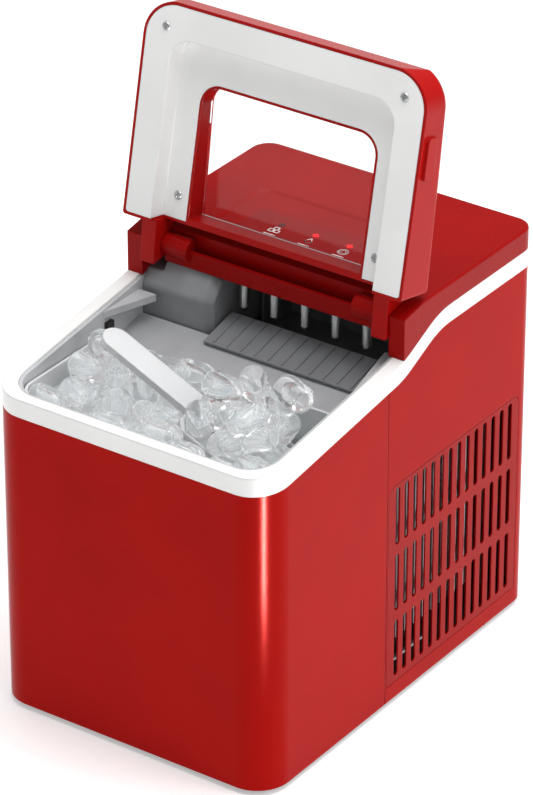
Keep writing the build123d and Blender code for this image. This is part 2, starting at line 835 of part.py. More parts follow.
with BuildPart() as motor_housing:
    extrude(housing_side(0).moved(Location((housing_left_x, 0, 0))), amount=housing_length)
    chamfer(motor_housing.faces().sort_by(Axis.X)[-1].edges(), 5.0)
    with BuildSketch(Plane.XY.offset(arm_clear_z)):
        with Locations((arm_clear_x, arm_clear_y)):
            Rectangle(notch_size, notch_size, align=(Align.MAX, Align.MAX))
    extrude(amount=notch_size, mode=Mode.SUBTRACT)
    add(housing_hollow.part, mode=Mode.SUBTRACT)
    with BuildSketch(Plane.YZ.offset(housing_right_x - 10)):
        with Locations((tray_pivot_y, tray_pivot_height)):
            Circle(7.0)
    extrude(amount=20, mode=Mode.SUBTRACT)
save(motor_housing, "motor_housing")

# ---- Top cover ----------------------------------------------------------------------------

arm_slot_inner = arm_inner_x - 0.6
arm_slot_outer = arm_outer_x + 0.6
bar_y = cover_y + bar_setback
trough_rear_y = cover_y + trough_depth
arm_notch_y = cover_y + 23.0
arm_sweep_y = cover_y + 31.0
pocket_floor = body_height - pocket_depth
button_y = cover_y + button_setback
button_xs = (-button_width / 2 - 0.6, button_width / 2 + 0.6)
button_gap = 0.4
indicator_y = cover_y + indicator_setback
indicator_radius = 2.2
board_height = 282.0
board_thickness = 1.6
board_half_width = 52.0
board_front_y = cover_y + 29.5
board_length = 42.0
post_points = [
    (sx * (board_half_width - 3.5), board_front_y + board_length / 2 + sy * (board_length / 2 - 3.5))
    for sx in (-1, 1)
    for sy in (-1, 1)
]


def cover_side(drop, front):
    """Side view of the space under the cover's top face, lowered by drop, behind front."""
    with BuildSketch(Plane.YZ) as region:
        with BuildLine():
            Polyline(
                (cover_y, 0),
                (cover_y, body_height - cover_front_drop - drop),
                (cover_y + cover_slope_length, body_height - drop),
                (half_depth + 5, body_height - drop),
                (half_depth + 5, 0),
                close=True,
            )
        make_face()
        with Locations(((front + half_depth + 5) / 2, body_height / 2)):
            Rectangle(half_depth + 5 - front, 2 * body_height, mode=Mode.INTERSECT)
    return region.sketch


with BuildPart() as cover_cavity:
    with BuildSketch():
        add(footprint(cover_wall))
    extrude(amount=body_height)
    extrude(
        cover_side(cover_wall, trough_rear_y + cover_wall),
        amount=body_width,
        both=True,
        mode=Mode.INTERSECT,
    )

with BuildPart() as top_cover:
    with BuildSketch():
        add(outer_plan)
    extrude(amount=body_height)
    extrude(cover_side(0, cover_y), amount=body_width, both=True, mode=Mode.INTERSECT)
    extrude(side_region(0), amount=body_width, both=True, mode=Mode.SUBTRACT)
    top_edges = top_cover.edges().group_by(Axis.Z)[-1]
    fillet(top_edges.sort_by(Axis.Y)[1:], 1.6)
    add(cover_cavity.part, mode=Mode.SUBTRACT)
    # The hinge trough: open in front and above, with a thin floor, a bar and a rear wall.
    with BuildSketch(Plane.YZ) as trough_cut:
        with BuildLine():
            Polyline(
                (cover_y - 1, 0),
                (cover_y - 1, body_height + 1),
                (trough_rear_y, body_height + 1),
                (trough_rear_y, trough_floor_height + cover_wall),
                (bar_y + cover_wall, trough_floor_height + cover_wall),
                (bar_y + cover_wall, trough_floor_height + bar_height),
                (bar_y, trough_floor_height + bar_height),
                (bar_y, trough_floor_height),
                (trough_rear_y + cover_wall, trough_floor_height),
                (trough_rear_y + cover_wall, 0),
                close=True,
            )
        make_face()
    extrude(amount=arm_slot_outer, both=True, mode=Mode.SUBTRACT)
    for side in (1, -1):
        with BuildSketch(Plane.YZ.offset(side * arm_slot_inner)) as arm_slot:
            with BuildLine():
                Polyline(
                    (cover_y - 1, 0),
                    (cover_y - 1, body_height + 1),
                    (arm_notch_y, body_height + 1),
                    (arm_notch_y, roof_height - 4),
                    (arm_sweep_y, roof_height - 4),
                    (arm_sweep_y, 0),
                    close=True,
                )
            make_face()
        extrude(amount=side * (arm_slot_outer - arm_slot_inner), mode=Mode.SUBTRACT)
        with BuildSketch(Plane.YZ.offset(side * arm_slot_inner)):
            with Locations((hinge_y, hinge_height)):
                Circle(barrel_radius)
        extrude(amount=-side * barrel_length)
        with BuildSketch(Plane.YZ.offset(side * (arm_slot_inner - 3.0))):
            with Locations((hinge_y, hinge_height)):
                Circle(pin_radius)
        extrude(amount=side * (arm_slot_outer - arm_slot_inner + 8.0), mode=Mode.SUBTRACT)
    with BuildSketch(Plane.XY.offset(body_height)):
        with Locations((0, cover_y + pocket_front_setback + pocket_length / 2)):
            RectangleRounded(2 * pocket_half_width, pocket_length, pocket_radius)
    extrude(amount=-pocket_depth, taper=pocket_slope, mode=Mode.SUBTRACT)
    with BuildSketch(Plane.XY.offset(body_height)):
        with Locations([(x, button_y) for x in button_xs]):
            RectangleRounded(button_width + 2 * button_gap, button_depth + 2 * button_gap, 2.9)
        with Locations((0, indicator_y)):
            with GridLocations(indicator_pitch, 0, 3, 1):
                Circle(indicator_radius + 0.2)
    extrude(amount=-cover_wall - 1, mode=Mode.SUBTRACT)
    with BuildSketch(Plane.XY.offset(board_height + board_thickness)):
        with Locations(post_points):
            Circle(2.5)
    extrude(amount=roof_height - board_height - board_thickness + 0.2)
save(top_cover, "top_cover")

with BuildPart() as hinge_pins:
    for side in (1, -1):
        with BuildSketch(Plane.YZ.offset(side * (arm_slot_inner - 3.0))):
            with Locations((hinge_y, hinge_height)):
                Circle(pin_radius)
        extrude(amount=side * (arm_slot_outer - arm_slot_inner + 8.0))
save(hinge_pins, "hinge_pins")

# ---- Controls -----------------------------------------------------------------------------

with BuildPart() as control_overlay:
    with BuildSketch(Plane.XY.offset(pocket_floor)):
        with Locations((0, cover_y + pocket_front_setback + 26)):
            RectangleRounded(104, 42, 4)
        with Locations([(x, button_y) for x in button_xs]):
            RectangleRounded(
                button_width + 2 * button_gap,
                button_depth + 2 * button_gap,
                2.9,
                mode=Mode.SUBTRACT,
            )
        with Locations((0, indicator_y)):
            with GridLocations(indicator_pitch, 0, 3, 1):
                Circle(indicator_radius + 0.2, mode=Mode.SUBTRACT)
    extrude(amount=overlay_thickness)
save(control_overlay, "control_overlay")

button_low = board_height + board_thickness + 3.4

for name, x in zip(("select_button", "power_button"), button_xs):
    with BuildPart() as button:
        with BuildSketch(Plane.XY.offset(button_low)):
            with Locations((x, button_y)):
                RectangleRounded(button_width, button_depth, 2.5)
        extrude(amount=pocket_floor + overlay_thickness + 0.8 - button_low)
        fillet(button.faces().sort_by(Axis.Z)[-1].edges(), 0.5)
        with BuildSketch(Plane.XY.offset(button_low)):
            with Locations((x, button_y)):
                Rectangle(button_width, button_depth + 3)
        extrude(amount=1.4)
    save(button, name)

with BuildPart() as indicator_lenses:
    with BuildSketch(Plane.XY.offset(board_height + board_thickness)):
        with Locations((0, indicator_y)):
            with GridLocations(indicator_pitch, 0, 3, 1):
                Circle(indicator_radius)
    extrude(amount=pocket_floor + overlay_thickness + 0.3 - board_height - board_thickness)
save(indicator_lenses, "indicator_lenses")

with BuildPart() as control_board:
    with BuildSketch(Plane.XY.offset(board_height)):
        with Locations((0, board_front_y + board_length / 2)):
            Rectangle(2 * board_half_width, board_length)
    extrude(amount=board_thickness)
    with BuildSketch(Plane.XY.offset(board_height + board_thickness)):
        with Locations([(x, button_y) for x in button_xs]):
            Rectangle(6, 6)
    extrude(amount=1.9)
save(control_board, "control_board")

# ---- Lid ----------------------------------------------------------------------------------

lean_sin = sin(radians(lid_lean))
lean_cos = cos(radians(lid_lean))
lid_y = hinge_y + hinge_to_lid_s * lean_sin - hinge_to_lid_d * lean_cos
lid_z = hinge_height + hinge_to_lid_s * lean_cos + hinge_to_lid_d * lean_sin
lid_front = Plane(origin=(0, lid_y, lid_z), x_dir=(1, 0, 0), z_dir=(0, -lean_cos, lean_sin))
lid_side = Plane(origin=(0, lid_y, lid_z), x_dir=(0, lean_sin, lean_cos), z_dir=(1, 0, 0))
lid_draft = 3.0
lid_liner_depth = lid_recess_depth + 2.0
lid_deep = 60.0


def lid_plan(inset, corner_radius):
    """The lid's outline seen from the liner side, drawn in by a wall."""
    with BuildSketch() as plan:
        with Locations((0, lid_length / 2)):
            Rectangle(body_width - 2 * inset, lid_length - 2 * inset)
        fillet(plan.vertices().group_by(Axis.Y)[-1], corner_radius - inset)
        fillet(plan.vertices().group_by(Axis.Y)[0], 2.0)
    return plan.sketch


def lid_profile(inset, skin):
    """The lid's side view: flat liner side and an outer face that thins to the free end."""
    with BuildSketch(lid_side) as region:
        with BuildLine():
            Polyline(
                (inset, 0),
                (lid_length - inset, 0),
                (lid_length - inset - lid_draft, skin - lid_free_thickness),
                (inset, skin - lid_hinge_thickness),
                close=True,
            )
        make_face()
    return region.sketch


def recess_plan(grow):
    """The liner's recess, open at the hinge end."""
    half = body_width / 2 - 2.0 - lid_frame_width + grow
    high = lid_length - 1.7 - lid_frame_width - 1.1 + grow
    with BuildSketch() as plan:
        with Locations((0, (high - 10) / 2)):
            Rectangle(2 * half, high + 10)
        fillet(plan.vertices().group_by(Axis.Y)[-1], lid_recess_radius)
    return plan.sketch


def window_plan(grow, low):
    """The window's outline, grown by a wall."""
    high = window_top + grow
    with BuildSketch() as plan:
        with Locations((0, (high + low) / 2)):
            Rectangle(2 * (window_half_width + grow), high - low)
        fillet(plan.vertices().group_by(Axis.Y)[-1], window_radius + grow)
    return plan.sketch


with BuildPart() as lid_block:
    extrude(lid_profile(0, 0), amount=half_width, both=True)
    with BuildSketch(lid_front.offset(1)):
        add(lid_plan(0, lid_corner_radius))
    extrude(amount=-lid_deep, mode=Mode.INTERSECT)
    outer_face = lid_block.faces().filter_by(Plane.XY, reverse=True).sort_by(
        Axis(lid_front.origin, lid_front.z_dir)
    )[0]
    fillet(outer_face.edges(), 5.0)

with BuildPart() as lid_cavity:
    extrude(lid_profile(lid_wall, lid_wall + 0.5), amount=half_width, both=True)
    with BuildSketch(lid_front.offset(1)):
        add(lid_plan(lid_wall, lid_corner_radius))
    extrude(amount=-lid_deep, mode=Mode.INTERSECT)

tunnel_wall = 1.8

with BuildPart() as window_tunnel:
    extrude(lid_profile(0, 1.0), amount=half_width, both=True)
    with BuildSketch(lid_front.offset(-lid_recess_depth - 0.2)):
        add(window_plan(tunnel_wall, 0.5))
    extrude(amount=-lid_deep, mode=Mode.INTERSECT)

hinge_s = -hinge_to_lid_s
hinge_d = -hinge_to_lid_d

with BuildPart() as lid_shell:
    add(lid_block.part)
    add(lid_cavity.part, mode=Mode.SUBTRACT)
    add(window_tunnel.part)
    with BuildSketch(lid_front.offset(5)):
        add(window_plan(0, window_bottom))
    extrude(amount=-lid_deep, mode=Mode.SUBTRACT)
    with BuildSketch(lid_front.offset(5)):
        with Locations((0, 0)):
            Rectangle(2 * (body_width / 2 - 2.0 - lid_frame_width), 12)
    extrude(amount=-5 - lid_recess_depth - 0.2, mode=Mode.SUBTRACT)
    for side in (1, -1):
        with BuildSketch(Plane(lid_side.origin, lid_side.x_dir, lid_side.z_dir).offset(side * arm_inner_x)):
            with BuildLine():
                Polyline(
                    (0.2, -5),
                    (hinge_s - 13.0, -8),
                    (hinge_s - 8.0, hinge_d - 2.0),
                    (hinge_s, hinge_d - 8.5),
                    (0.2, hinge_d - 5.5),
                    close=True,
                )
            make_face()
            with Locations((hinge_s, hinge_d)):
                Circle(barrel_radius + 0.5)
                Circle(pin_radius + running_clearance, mode=Mode.SUBTRACT)
        extrude(amount=side * (arm_outer_x - arm_inner_x))
        with BuildSketch(lid_side.offset(side * (half_width - 1.0))):
            with Locations((lid_length * 0.63, -10)):
                RectangleRounded(29, 11, 3)
        extrude(amount=side * 3.2)
save(lid_shell, "lid_shell")

screw_points = [(-93.4, 133.0, 0.0), (93.4, 133.0, 0.0)]
screw_points += [(-78.6, 18.4, lid_recess_depth), (78.6, 18.4, lid_recess_depth)]

with BuildPart() as lid_liner:
    with BuildSketch(lid_front):
        add(lid_plan(lid_wall + 0.2, lid_corner_radius))
    extrude(amount=-lid_liner_depth)
    extrude(
        lid_profile(lid_wall + 0.2, lid_wall + 0.7), amount=half_width, both=True, mode=Mode.INTERSECT
    )
    with BuildSketch(lid_front):
        add(recess_plan(0))
    extrude(amount=-lid_recess_depth, mode=Mode.SUBTRACT)
    with BuildSketch(lid_front):
        add(window_plan(tunnel_wall + 0.2, -5))
    extrude(amount=-lid_deep, mode=Mode.SUBTRACT)
    with BuildSketch(lid_front.offset(-2.0)):
        add(lid_plan(lid_wall + 2.2, lid_corner_radius))
        add(recess_plan(2.0), mode=Mode.SUBTRACT)
    extrude(amount=-lid_deep, mode=Mode.SUBTRACT)
    for x, s, depth in screw_points:
        with BuildSketch(lid_front.offset(1 - depth)):
            with Locations((x, s)):
                Circle(1.6)
        extrude(amount=-6, mode=Mode.SUBTRACT)
save(lid_liner, "lid_liner")

with BuildPart() as lid_screws:
    for x, s, depth in screw_points:
        with BuildSketch(lid_front.offset(-depth)):
            with Locations((x, s)):
                Circle(lid_screw_radius)
        extrude(amount=0.8)
        with BuildSketch(lid_front.offset(-depth - 1.9)):
            with Locations((x, s)):
                Circle(1.5)
        extrude(amount=2.0)
save(lid_screws, "lid_screws")

with BuildPart() as lid_window:
    with BuildSketch(lid_side) as pane_side:
        with BuildLine():
            Polyline(
                (0, 1.5 - lid_hinge_thickness),
                (lid_length - lid_draft, 1.5 - lid_free_thickness),
                (lid_length - lid_draft, 1.5 + pane_thickness - lid_free_thickness),
                (0, 1.5 + pane_thickness - lid_hinge_thickness),
                close=True,
            )
        make_face()
    extrude(amount=half_width, both=True)
    with BuildSketch(lid_front):
        add(window_plan(-0.1, window_bottom + 0.1))
    extrude(amount=-lid_deep, mode=Mode.INTERSECT)
save(lid_window, "lid_window")

# ---- Compressor ---------------------------------------------------------------------------

floor_z = foot_height + pan_floor
grommet_height = 7.0
plate_thickness = 2.5
plate_z = floor_z + grommet_height
compressor_stub = 6.0
stub_top = plate_z + plate_thickness + compressor_height + compressor_stub
discharge_x = compressor_x + 16.0
suction_stub_x = compressor_x - 16.0
compressor_bolt_x = 42.0
compressor_bolt_y = 40.0

with BuildPart() as compressor:
    with BuildSketch(Plane.XY.offset(plate_z)):
        with Locations((compressor_x, compressor_y)):
            RectangleRounded(2 * compressor_bolt_x + 16, 2 * compressor_bolt_y + 16, 8)
            with GridLocations(2 * compressor_bolt_x, 2 * compressor_bolt_y, 2, 2):
                Circle(2.6, mode=Mode.SUBTRACT)
    extrude(amount=plate_thickness)
    with BuildSketch(Plane.XY.offset(plate_z + plate_thickness)):
        with Locations((compressor_x, compressor_y)):
            Circle(compressor_radius)
    extrude(amount=compressor_height)
    fillet(compressor.edges().filter_by(GeomType.CIRCLE).group_by(Axis.Z)[-1], 20.0)
    with BuildSketch(Plane.XY.offset(plate_z + plate_thickness + compressor_height - 1.0)):
        with Locations((discharge_x, compressor_y), (suction_stub_x, compressor_y)):
            Circle(tube_radius + 1.5)
    extrude(amount=compressor_stub + 1.0)
save(compressor, "compressor")

with BuildPart() as compressor_grommets:
    with BuildSketch(Plane.XY.offset(floor_z)):
        with Locations((compressor_x, compressor_y)):
            with GridLocations(2 * compressor_bolt_x, 2 * compressor_bolt_y, 2, 2):
                Circle(7.0)
                Circle(2.6, mode=Mode.SUBTRACT)
    extrude(amount=grommet_height)
save(compressor_grommets, "compressor_grommets")

with BuildPart() as compressor_bolts:
    with BuildSketch(Plane.XY.offset(floor_z)):
        with Locations((compressor_x, compressor_y)):
            with GridLocations(2 * compressor_bolt_x, 2 * compressor_bolt_y, 2, 2):
                Circle(2.5)
    extrude(amount=grommet_height + plate_thickness)
    with BuildSketch(Plane.XY.offset(plate_z + plate_thickness)):
        with Locations((compressor_x, compressor_y)):
            with GridLocations(2 * compressor_bolt_x, 2 * compressor_bolt_y, 2, 2):
                RegularPolygon(4.6, 6)
    extrude(amount=3.0)
save(compressor_bolts, "compressor_bolts")

# ---- Condenser ----------------------------------------------------------------------------

condenser_row_pitch = condenser_fin_height / condenser_tube_rows
condenser_rows = [condenser_low + condenser_row_pitch * (i + 0.5) for i in range(condenser_tube_rows)]
condenser_depth = condenser_fin_pitch * (condenser_fin_count - 1)
condenser_rear_y = condenser_front_y + condenser_depth
bend_radius = condenser_row_pitch / 2 - 0.1
joint_y = condenser_rear_y + 8.0
fin_thickness = 0.8

with BuildPart() as condenser_fins:
    for i in range(condenser_fin_count):
        with BuildSketch(Plane.XZ.offset(-(condenser_front_y + i * condenser_fin_pitch))):
            with Locations((condenser_x, condenser_low + condenser_fin_height / 2)):
                Rectangle(condenser_width, condenser_fin_height)
            with Locations([(condenser_x, z) for z in condenser_rows]):
                Circle(condenser_tube_radius + 0.05, mode=Mode.SUBTRACT)
        extrude(amount=fin_thickness / 2, both=True)
save(condenser_fins, "condenser_fins")

bend_out = 4.0 + condenser_row_pitch / 2
bend_points = [(joint_y, condenser_rows[-1])]
for i in range(condenser_tube_rows - 1):
    turn_y = condenser_front_y - bend_out if i % 2 == 0 else condenser_rear_y + bend_out
    bend_points.append((turn_y, condenser_rows[-1 - i]))
    bend_points.append((turn_y, condenser_rows[-2 - i]))
bend_points.append((joint_y, condenser_rows[0]))

with BuildPart() as condenser_tube:
    with BuildLine(Plane.YZ.offset(condenser_x)) as condenser_path:
        FilletPolyline(*bend_points, radius=bend_radius)
    with BuildSketch(Plane((condenser_x, joint_y, condenser_rows[-1]), z_dir=(0, -1, 0))):
        Circle(condenser_tube_radius)
    sweep(path=condenser_path.line)
save(condenser_tube, "condenser_tube")

# ---- Fan ----------------------------------------------------------------------------------

shroud_x = condenser_x - condenser_width / 2 - 5.0
fan_hub_x = shroud_x - 20.0
fan_hub_length = 14.0
fan_hub_radius = 14.0
blade_count = 5
blade_root = fan_hub_radius - 2.0
fan_shaft_radius = 2.0
fan_motor_length = 22.0
fan_motor_right_x = fan_hub_x - 3.0
fan_motor_radius = 17.0

with BuildPart() as fan_shroud:
    with BuildSketch(Plane.YZ.offset(shroud_x)):
        with Locations((fan_y - 4, condenser_low + condenser_fin_height / 2 - 6)):
            Rectangle(118, condenser_fin_height + 8)
        with Locations((fan_y, fan_z)):
            Circle(fan_radius + 2.0, mode=Mode.SUBTRACT)
    extrude(amount=2.0)
    with BuildSketch(Plane.YZ.offset(shroud_x)):
        with Locations((fan_y, fan_z)):
            Circle(fan_radius + 3.5)
            Circle(fan_radius + 2.0, mode=Mode.SUBTRACT)
    extrude(amount=-12.0)
    with BuildSketch(Plane.YZ.offset(shroud_x)):
        with Locations((fan_y, (floor_z + condenser_low) / 2)):
            Rectangle(60, condenser_low - floor_z)
    extrude(amount=2.0)
save(fan_shroud, "fan_shroud")

blade = Box(fan_hub_length, 1.6, fan_radius - blade_root)
blade_middle = (fan_radius + blade_root) / 2

with BuildPart() as fan_blade:
    with BuildSketch(Plane.YZ.offset(fan_hub_x)):
        with Locations((fan_y, fan_z)):
            Circle(fan_hub_radius)
    extrude(amount=fan_hub_length)
    for i in range(blade_count):
        turn = Rotation(360 * i / blade_count, 0, 0)
        centre = Pos(fan_hub_x + fan_hub_length / 2, fan_y, fan_z)
        add(centre * turn * Pos(0, 0, blade_middle) * Rotation(0, 0, 35) * blade)
    with BuildSketch(Plane.YZ.offset(fan_hub_x)):
        with Locations((fan_y, fan_z)):
            Circle(fan_shaft_radius)
    extrude(amount=-9.0)
save(fan_blade, "fan_blade")

with BuildPart() as fan_motor:
    with BuildSketch(Plane.YZ.offset(fan_motor_right_x)):
        with Locations((fan_y, fan_z)):
            Circle(fan_motor_radius)
    extrude(amount=-fan_motor_length)
    with BuildSketch(Plane.YZ.offset(fan_motor_right_x)):
        with Locations((fan_y, fan_z)):
            Circle(fan_shaft_radius + running_clearance)
    extrude(amount=-8.0, mode=Mode.SUBTRACT)
save(fan_motor, "fan_motor")

bracket_x = fan_motor_right_x - fan_motor_length

with BuildPart() as fan_bracket:
    with BuildSketch(Plane.YZ.offset(bracket_x)):
        with Locations((fan_y, (floor_z + fan_z + fan_motor_radius) / 2)):
            Rectangle(22, fan_z + fan_motor_radius - floor_z)
    extrude(amount=-3.0)
    with BuildSketch(Plane.XY.offset(floor_z)):
        with Locations((bracket_x + 8, fan_y)):
            Rectangle(16, 22)
    extrude(amount=2.0)
save(fan_bracket, "fan_bracket")

# ---- Refrigerant tubes and drier ----------------------------------------------------------

drier_y = 124.0
drier_low = 66.0
drier_length = 64.0
drier_radius = 8.0
discharge_z = 177.0
discharge_y = 137.0
suction_y = 113.0
suction_z = 141.0
tube_bend = 8.0

with BuildPart() as filter_drier:
    with BuildSketch(Plane.XY.offset(drier_low + 8)):
        with Locations((liquid_x, drier_y)):
            Circle(drier_radius)
    extrude(amount=drier_length - 16)
    chamfer(filter_drier.edges().filter_by(GeomType.CIRCLE), 3.0)
    with BuildSketch(Plane.XY.offset(drier_low)):
        with Locations((liquid_x, drier_y)):
            Circle(tube_radius + 0.5)
    extrude(amount=drier_length)
save(filter_drier, "filter_drier")

tube_routes = {
    "discharge_tube": [
        (discharge_x, compressor_y, stub_top),
        (discharge_x, compressor_y, discharge_z),
        (discharge_x, discharge_y, discharge_z),
        (condenser_x, discharge_y, discharge_z),
        (condenser_x, discharge_y, condenser_rows[-1]),
        (condenser_x, joint_y, condenser_rows[-1]),
    ],
    "drier_tube": [
        (condenser_x, joint_y, condenser_rows[0]),
        (condenser_x, drier_y, condenser_rows[0]),
        (liquid_x, drier_y, condenser_rows[0] - 12.0),
        (liquid_x, drier_y, drier_low),
    ],
    "liquid_tube": [
        (liquid_x, drier_y, drier_low + drier_length),
        (liquid_x, drier_y, manifold_height),
        (liquid_x, rod_row_y + rod_row_gap + stub_length, manifold_height),
    ],
    "suction_tube": [
        (suction_x, rod_row_y + rod_row_gap + stub_length, manifold_height),
        (suction_x, suction_y, manifold_height),
        (suction_x, suction_y, suction_z),
        (suction_stub_x, suction_y, suction_z),
        (suction_stub_x, compressor_y, suction_z),
        (suction_stub_x, compressor_y, stub_top),
    ],
}

for name, points in tube_routes.items():
    with BuildPart() as tube:
        with BuildLine() as route:
            FilletPolyline(*points, radius=tube_bend)
        with BuildSketch(Plane(route.line @ 0, z_dir=route.line % 0)):
            Circle(tube_radius)
        sweep(path=route.line)
    save(tube, name)

# ---- Water pump and hose ------------------------------------------------------------------

pump_y = -80.0
pump_motor_radius = 16.0
pump_motor_height = 25.0
volute_z = floor_z + pump_motor_height
volute_radius = 19.0
volute_height = 12.0
impeller_radius = 13.0

with BuildPart() as water_pump:
    with BuildSketch(Plane.XY.offset(floor_z)):
        with Locations((hose_x, pump_y)):
            Circle(pump_motor_radius)
    extrude(amount=pump_motor_height)
    with BuildSketch(Plane.XY.offset(volute_z)):
        with Locations((hose_x, pump_y)):
            Circle(volute_radius)
    extrude(amount=volute_height)
    with BuildSketch(Plane.XY.offset(volute_z + volute_height)):
        with Locations((hose_x, pump_y)):
            Circle(hose_radius + 2.0)
    extrude(amount=reservoir_floor - volute_z - volute_height)
    with BuildSketch(Plane.XZ.offset(-pump_y)):
        with Locations((hose_x, volute_z + volute_height / 2)):
            Circle(hose_radius)
    extrude(amount=-(volute_radius + 5.0))
    with BuildSketch(Plane.XY.offset(volute_z + 2.0)):
        with Locations((hose_x, pump_y)):
            Circle(impeller_radius + 1.5)
    extrude(amount=volute_height - 4.0, mode=Mode.SUBTRACT)
    with BuildSketch(Plane.XY.offset(volute_z + 4.0 - 12.0)):
        with Locations((hose_x, pump_y)):
            Circle(1.5 + running_clearance)
    extrude(amount=12.0, mode=Mode.SUBTRACT)
save(water_pump, "water_pump")

vane = Box(impeller_radius - 1.0, 1.4, 4.0)

with BuildPart() as pump_impeller:
    with BuildSketch(Plane.XY.offset(volute_z + 3.0)):
        with Locations((hose_x, pump_y)):
            Circle(impeller_radius)
    extrude(amount=1.5)
    for i in range(6):
        turn = Rotation(0, 0, 60 * i)
        add(Pos(hose_x, pump_y, volute_z + 6.0) * turn * Pos(impeller_radius / 2, 0, 0) * vane)
    with BuildSketch(Plane.XY.offset(volute_z + 3.5 - 10.0)):
        with Locations((hose_x, pump_y)):
            Circle(1.5)
    extrude(amount=10.0)
save(pump_impeller, "pump_impeller")

with BuildPart() as water_hose:
    with BuildLine() as hose_route:
        FilletPolyline(
            (hose_x, pump_y + volute_radius + 5.0, volute_z + volute_height / 2),
            (hose_x, hose_y, volute_z + volute_height / 2),
            (hose_x, hose_y, tank_floor_front - 4.0),
            radius=14.0,
        )
    with BuildSketch(Plane(hose_route.line @ 0, z_dir=hose_route.line % 0)):
        Circle(hose_radius)
    sweep(path=hose_route.line)
save(water_hose, "water_hose")

# ---- Drain --------------------------------------------------------------------------------

tank_side_x = well_half_width - tank_inset
plug_radius = drain_bore - running_clearance - 0.35
plug_head_x = tank_side_x + 6.0
plug_tab = 1.6

with BuildPart() as drain_spout:
    with BuildSketch(Plane.YZ.offset(-tank_side_x)):
        with Locations((drain_y, drain_z)):
            Circle(drain_bore + 3.5)
            Circle(drain_bore, mode=Mode.SUBTRACT)
    extrude(amount=-5.4)
save(drain_spout, "drain_spout")

with BuildPart() as drain_plug:
    with BuildSketch(Plane.YZ.offset(-plug_head_x)):
        with Locations((drain_y, drain_z)):
            Circle(drain_hole - 1.2)
    extrude(amount=-(half_width - plug_tab - plug_head_x))
    with BuildSketch(Plane.YZ.offset(-plug_head_x)):
        with Locations((drain_y, drain_z)):
            Circle(plug_radius)
    extrude(amount=14.0)
    with BuildSketch(Plane.YZ.offset(-(half_width - plug_tab))):
        with Locations((drain_y, drain_z)):
            RectangleRounded(14, 3, 1.2)
    extrude(amount=-plug_tab)
save(drain_plug, "drain_plug")

# ---- Sensors, power board and screws ------------------------------------------------------

with BuildPart() as ice_sensors:
    for side in (1, -1):
        with Locations((side * (slide_inner_half - 1.5), basket_rear_y + 8.0, 238.0)):
            Box(3.0, 7.0, 7.0)
save(ice_sensors, "ice_sensors")

with BuildPart() as water_level_sensor:
    with BuildSketch(Plane.XY.offset(reservoir_floor + tank_wall)):
        with Locations((70, -58)):
            Circle(3.0)
    extrude(amount=40.0)
    with BuildSketch(Plane.XY.offset(reservoir_floor + tank_wall + 20)):
        with Locations((70, -58)):
            Circle(8.0)
    extrude(amount=12.0)
save(water_level_sensor, "water_level_sensor")

board_y = half_depth - casing_wall - 14.0

with BuildPart() as power_board:
    with BuildSketch(Plane.XZ.offset(-board_y)):
        with Locations((52, 204)):
            Rectangle(60, 44)
    extrude(amount=-1.6)
    with BuildSketch(Plane.XZ.offset(-(board_y + 1.6))):
        with Locations((52, 204)):
            with GridLocations(52, 36, 2, 2):
                Circle(3.0)
    extrude(amount=-(half_depth - casing_wall - 2.0 - board_y - 1.6))
    with BuildSketch(Plane.XZ.offset(-board_y)):
        with Locations((34, 200), (70, 208)):
            Rectangle(14, 20)
    extrude(amount=9.0)
save(power_board, "power_board")

with BuildPart() as casing_screws:
    with BuildSketch(Plane.XZ.offset(-half_depth)):
        with GridLocations(2 * rear_panel_half_width - 14, 0, 2, 1):
            with Locations((0, rear_panel_low + 8), (0, grille_mid_z), (0, rear_panel_high - 8)):
                Circle(3.2)
    extrude(amount=-1.4)
save(casing_screws, "casing_screws")
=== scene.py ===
"""Looks of a countertop ice maker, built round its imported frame.

Metres, the front towards -Y. One section for each piece, in the order it is put together.
"""

import math
import random

import bmesh
import bpy
from mathutils import Matrix, Vector


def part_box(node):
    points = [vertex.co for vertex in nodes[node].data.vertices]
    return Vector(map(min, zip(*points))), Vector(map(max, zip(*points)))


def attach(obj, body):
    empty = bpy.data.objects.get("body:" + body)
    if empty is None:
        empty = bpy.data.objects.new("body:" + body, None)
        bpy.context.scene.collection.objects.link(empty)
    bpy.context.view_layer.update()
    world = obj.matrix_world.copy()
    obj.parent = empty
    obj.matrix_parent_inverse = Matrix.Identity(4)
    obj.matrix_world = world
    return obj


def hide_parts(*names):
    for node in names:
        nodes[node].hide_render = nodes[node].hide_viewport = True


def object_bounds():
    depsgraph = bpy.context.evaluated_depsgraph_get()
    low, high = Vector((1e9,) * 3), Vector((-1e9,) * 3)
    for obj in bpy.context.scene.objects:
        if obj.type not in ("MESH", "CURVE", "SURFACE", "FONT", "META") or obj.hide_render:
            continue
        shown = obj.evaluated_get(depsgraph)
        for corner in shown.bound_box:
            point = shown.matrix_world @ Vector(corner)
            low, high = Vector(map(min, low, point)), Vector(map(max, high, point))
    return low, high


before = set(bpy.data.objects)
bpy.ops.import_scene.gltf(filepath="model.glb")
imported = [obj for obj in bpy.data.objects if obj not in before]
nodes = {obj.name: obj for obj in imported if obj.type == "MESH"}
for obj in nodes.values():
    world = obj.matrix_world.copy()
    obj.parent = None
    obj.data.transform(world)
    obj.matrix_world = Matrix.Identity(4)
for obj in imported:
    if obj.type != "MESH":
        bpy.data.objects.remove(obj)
cad_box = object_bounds()

# ---- Worktop, lights and camera ----------------------------------------------------------
# The machine stands on a white worktop in a bright room with large soft lights.
# A narrow light low beside the right front corner gives the pale stripe down its curve.


def linear(code):
    """An sRGB hex colour as linear RGBA."""
    channels = [int(code[i : i + 2], 16) / 255 for i in (1, 3, 5)]
    return [c / 12.92 if c <= 0.04045 else ((c + 0.055) / 1.055) ** 2.4 for c in channels] + [1.0]


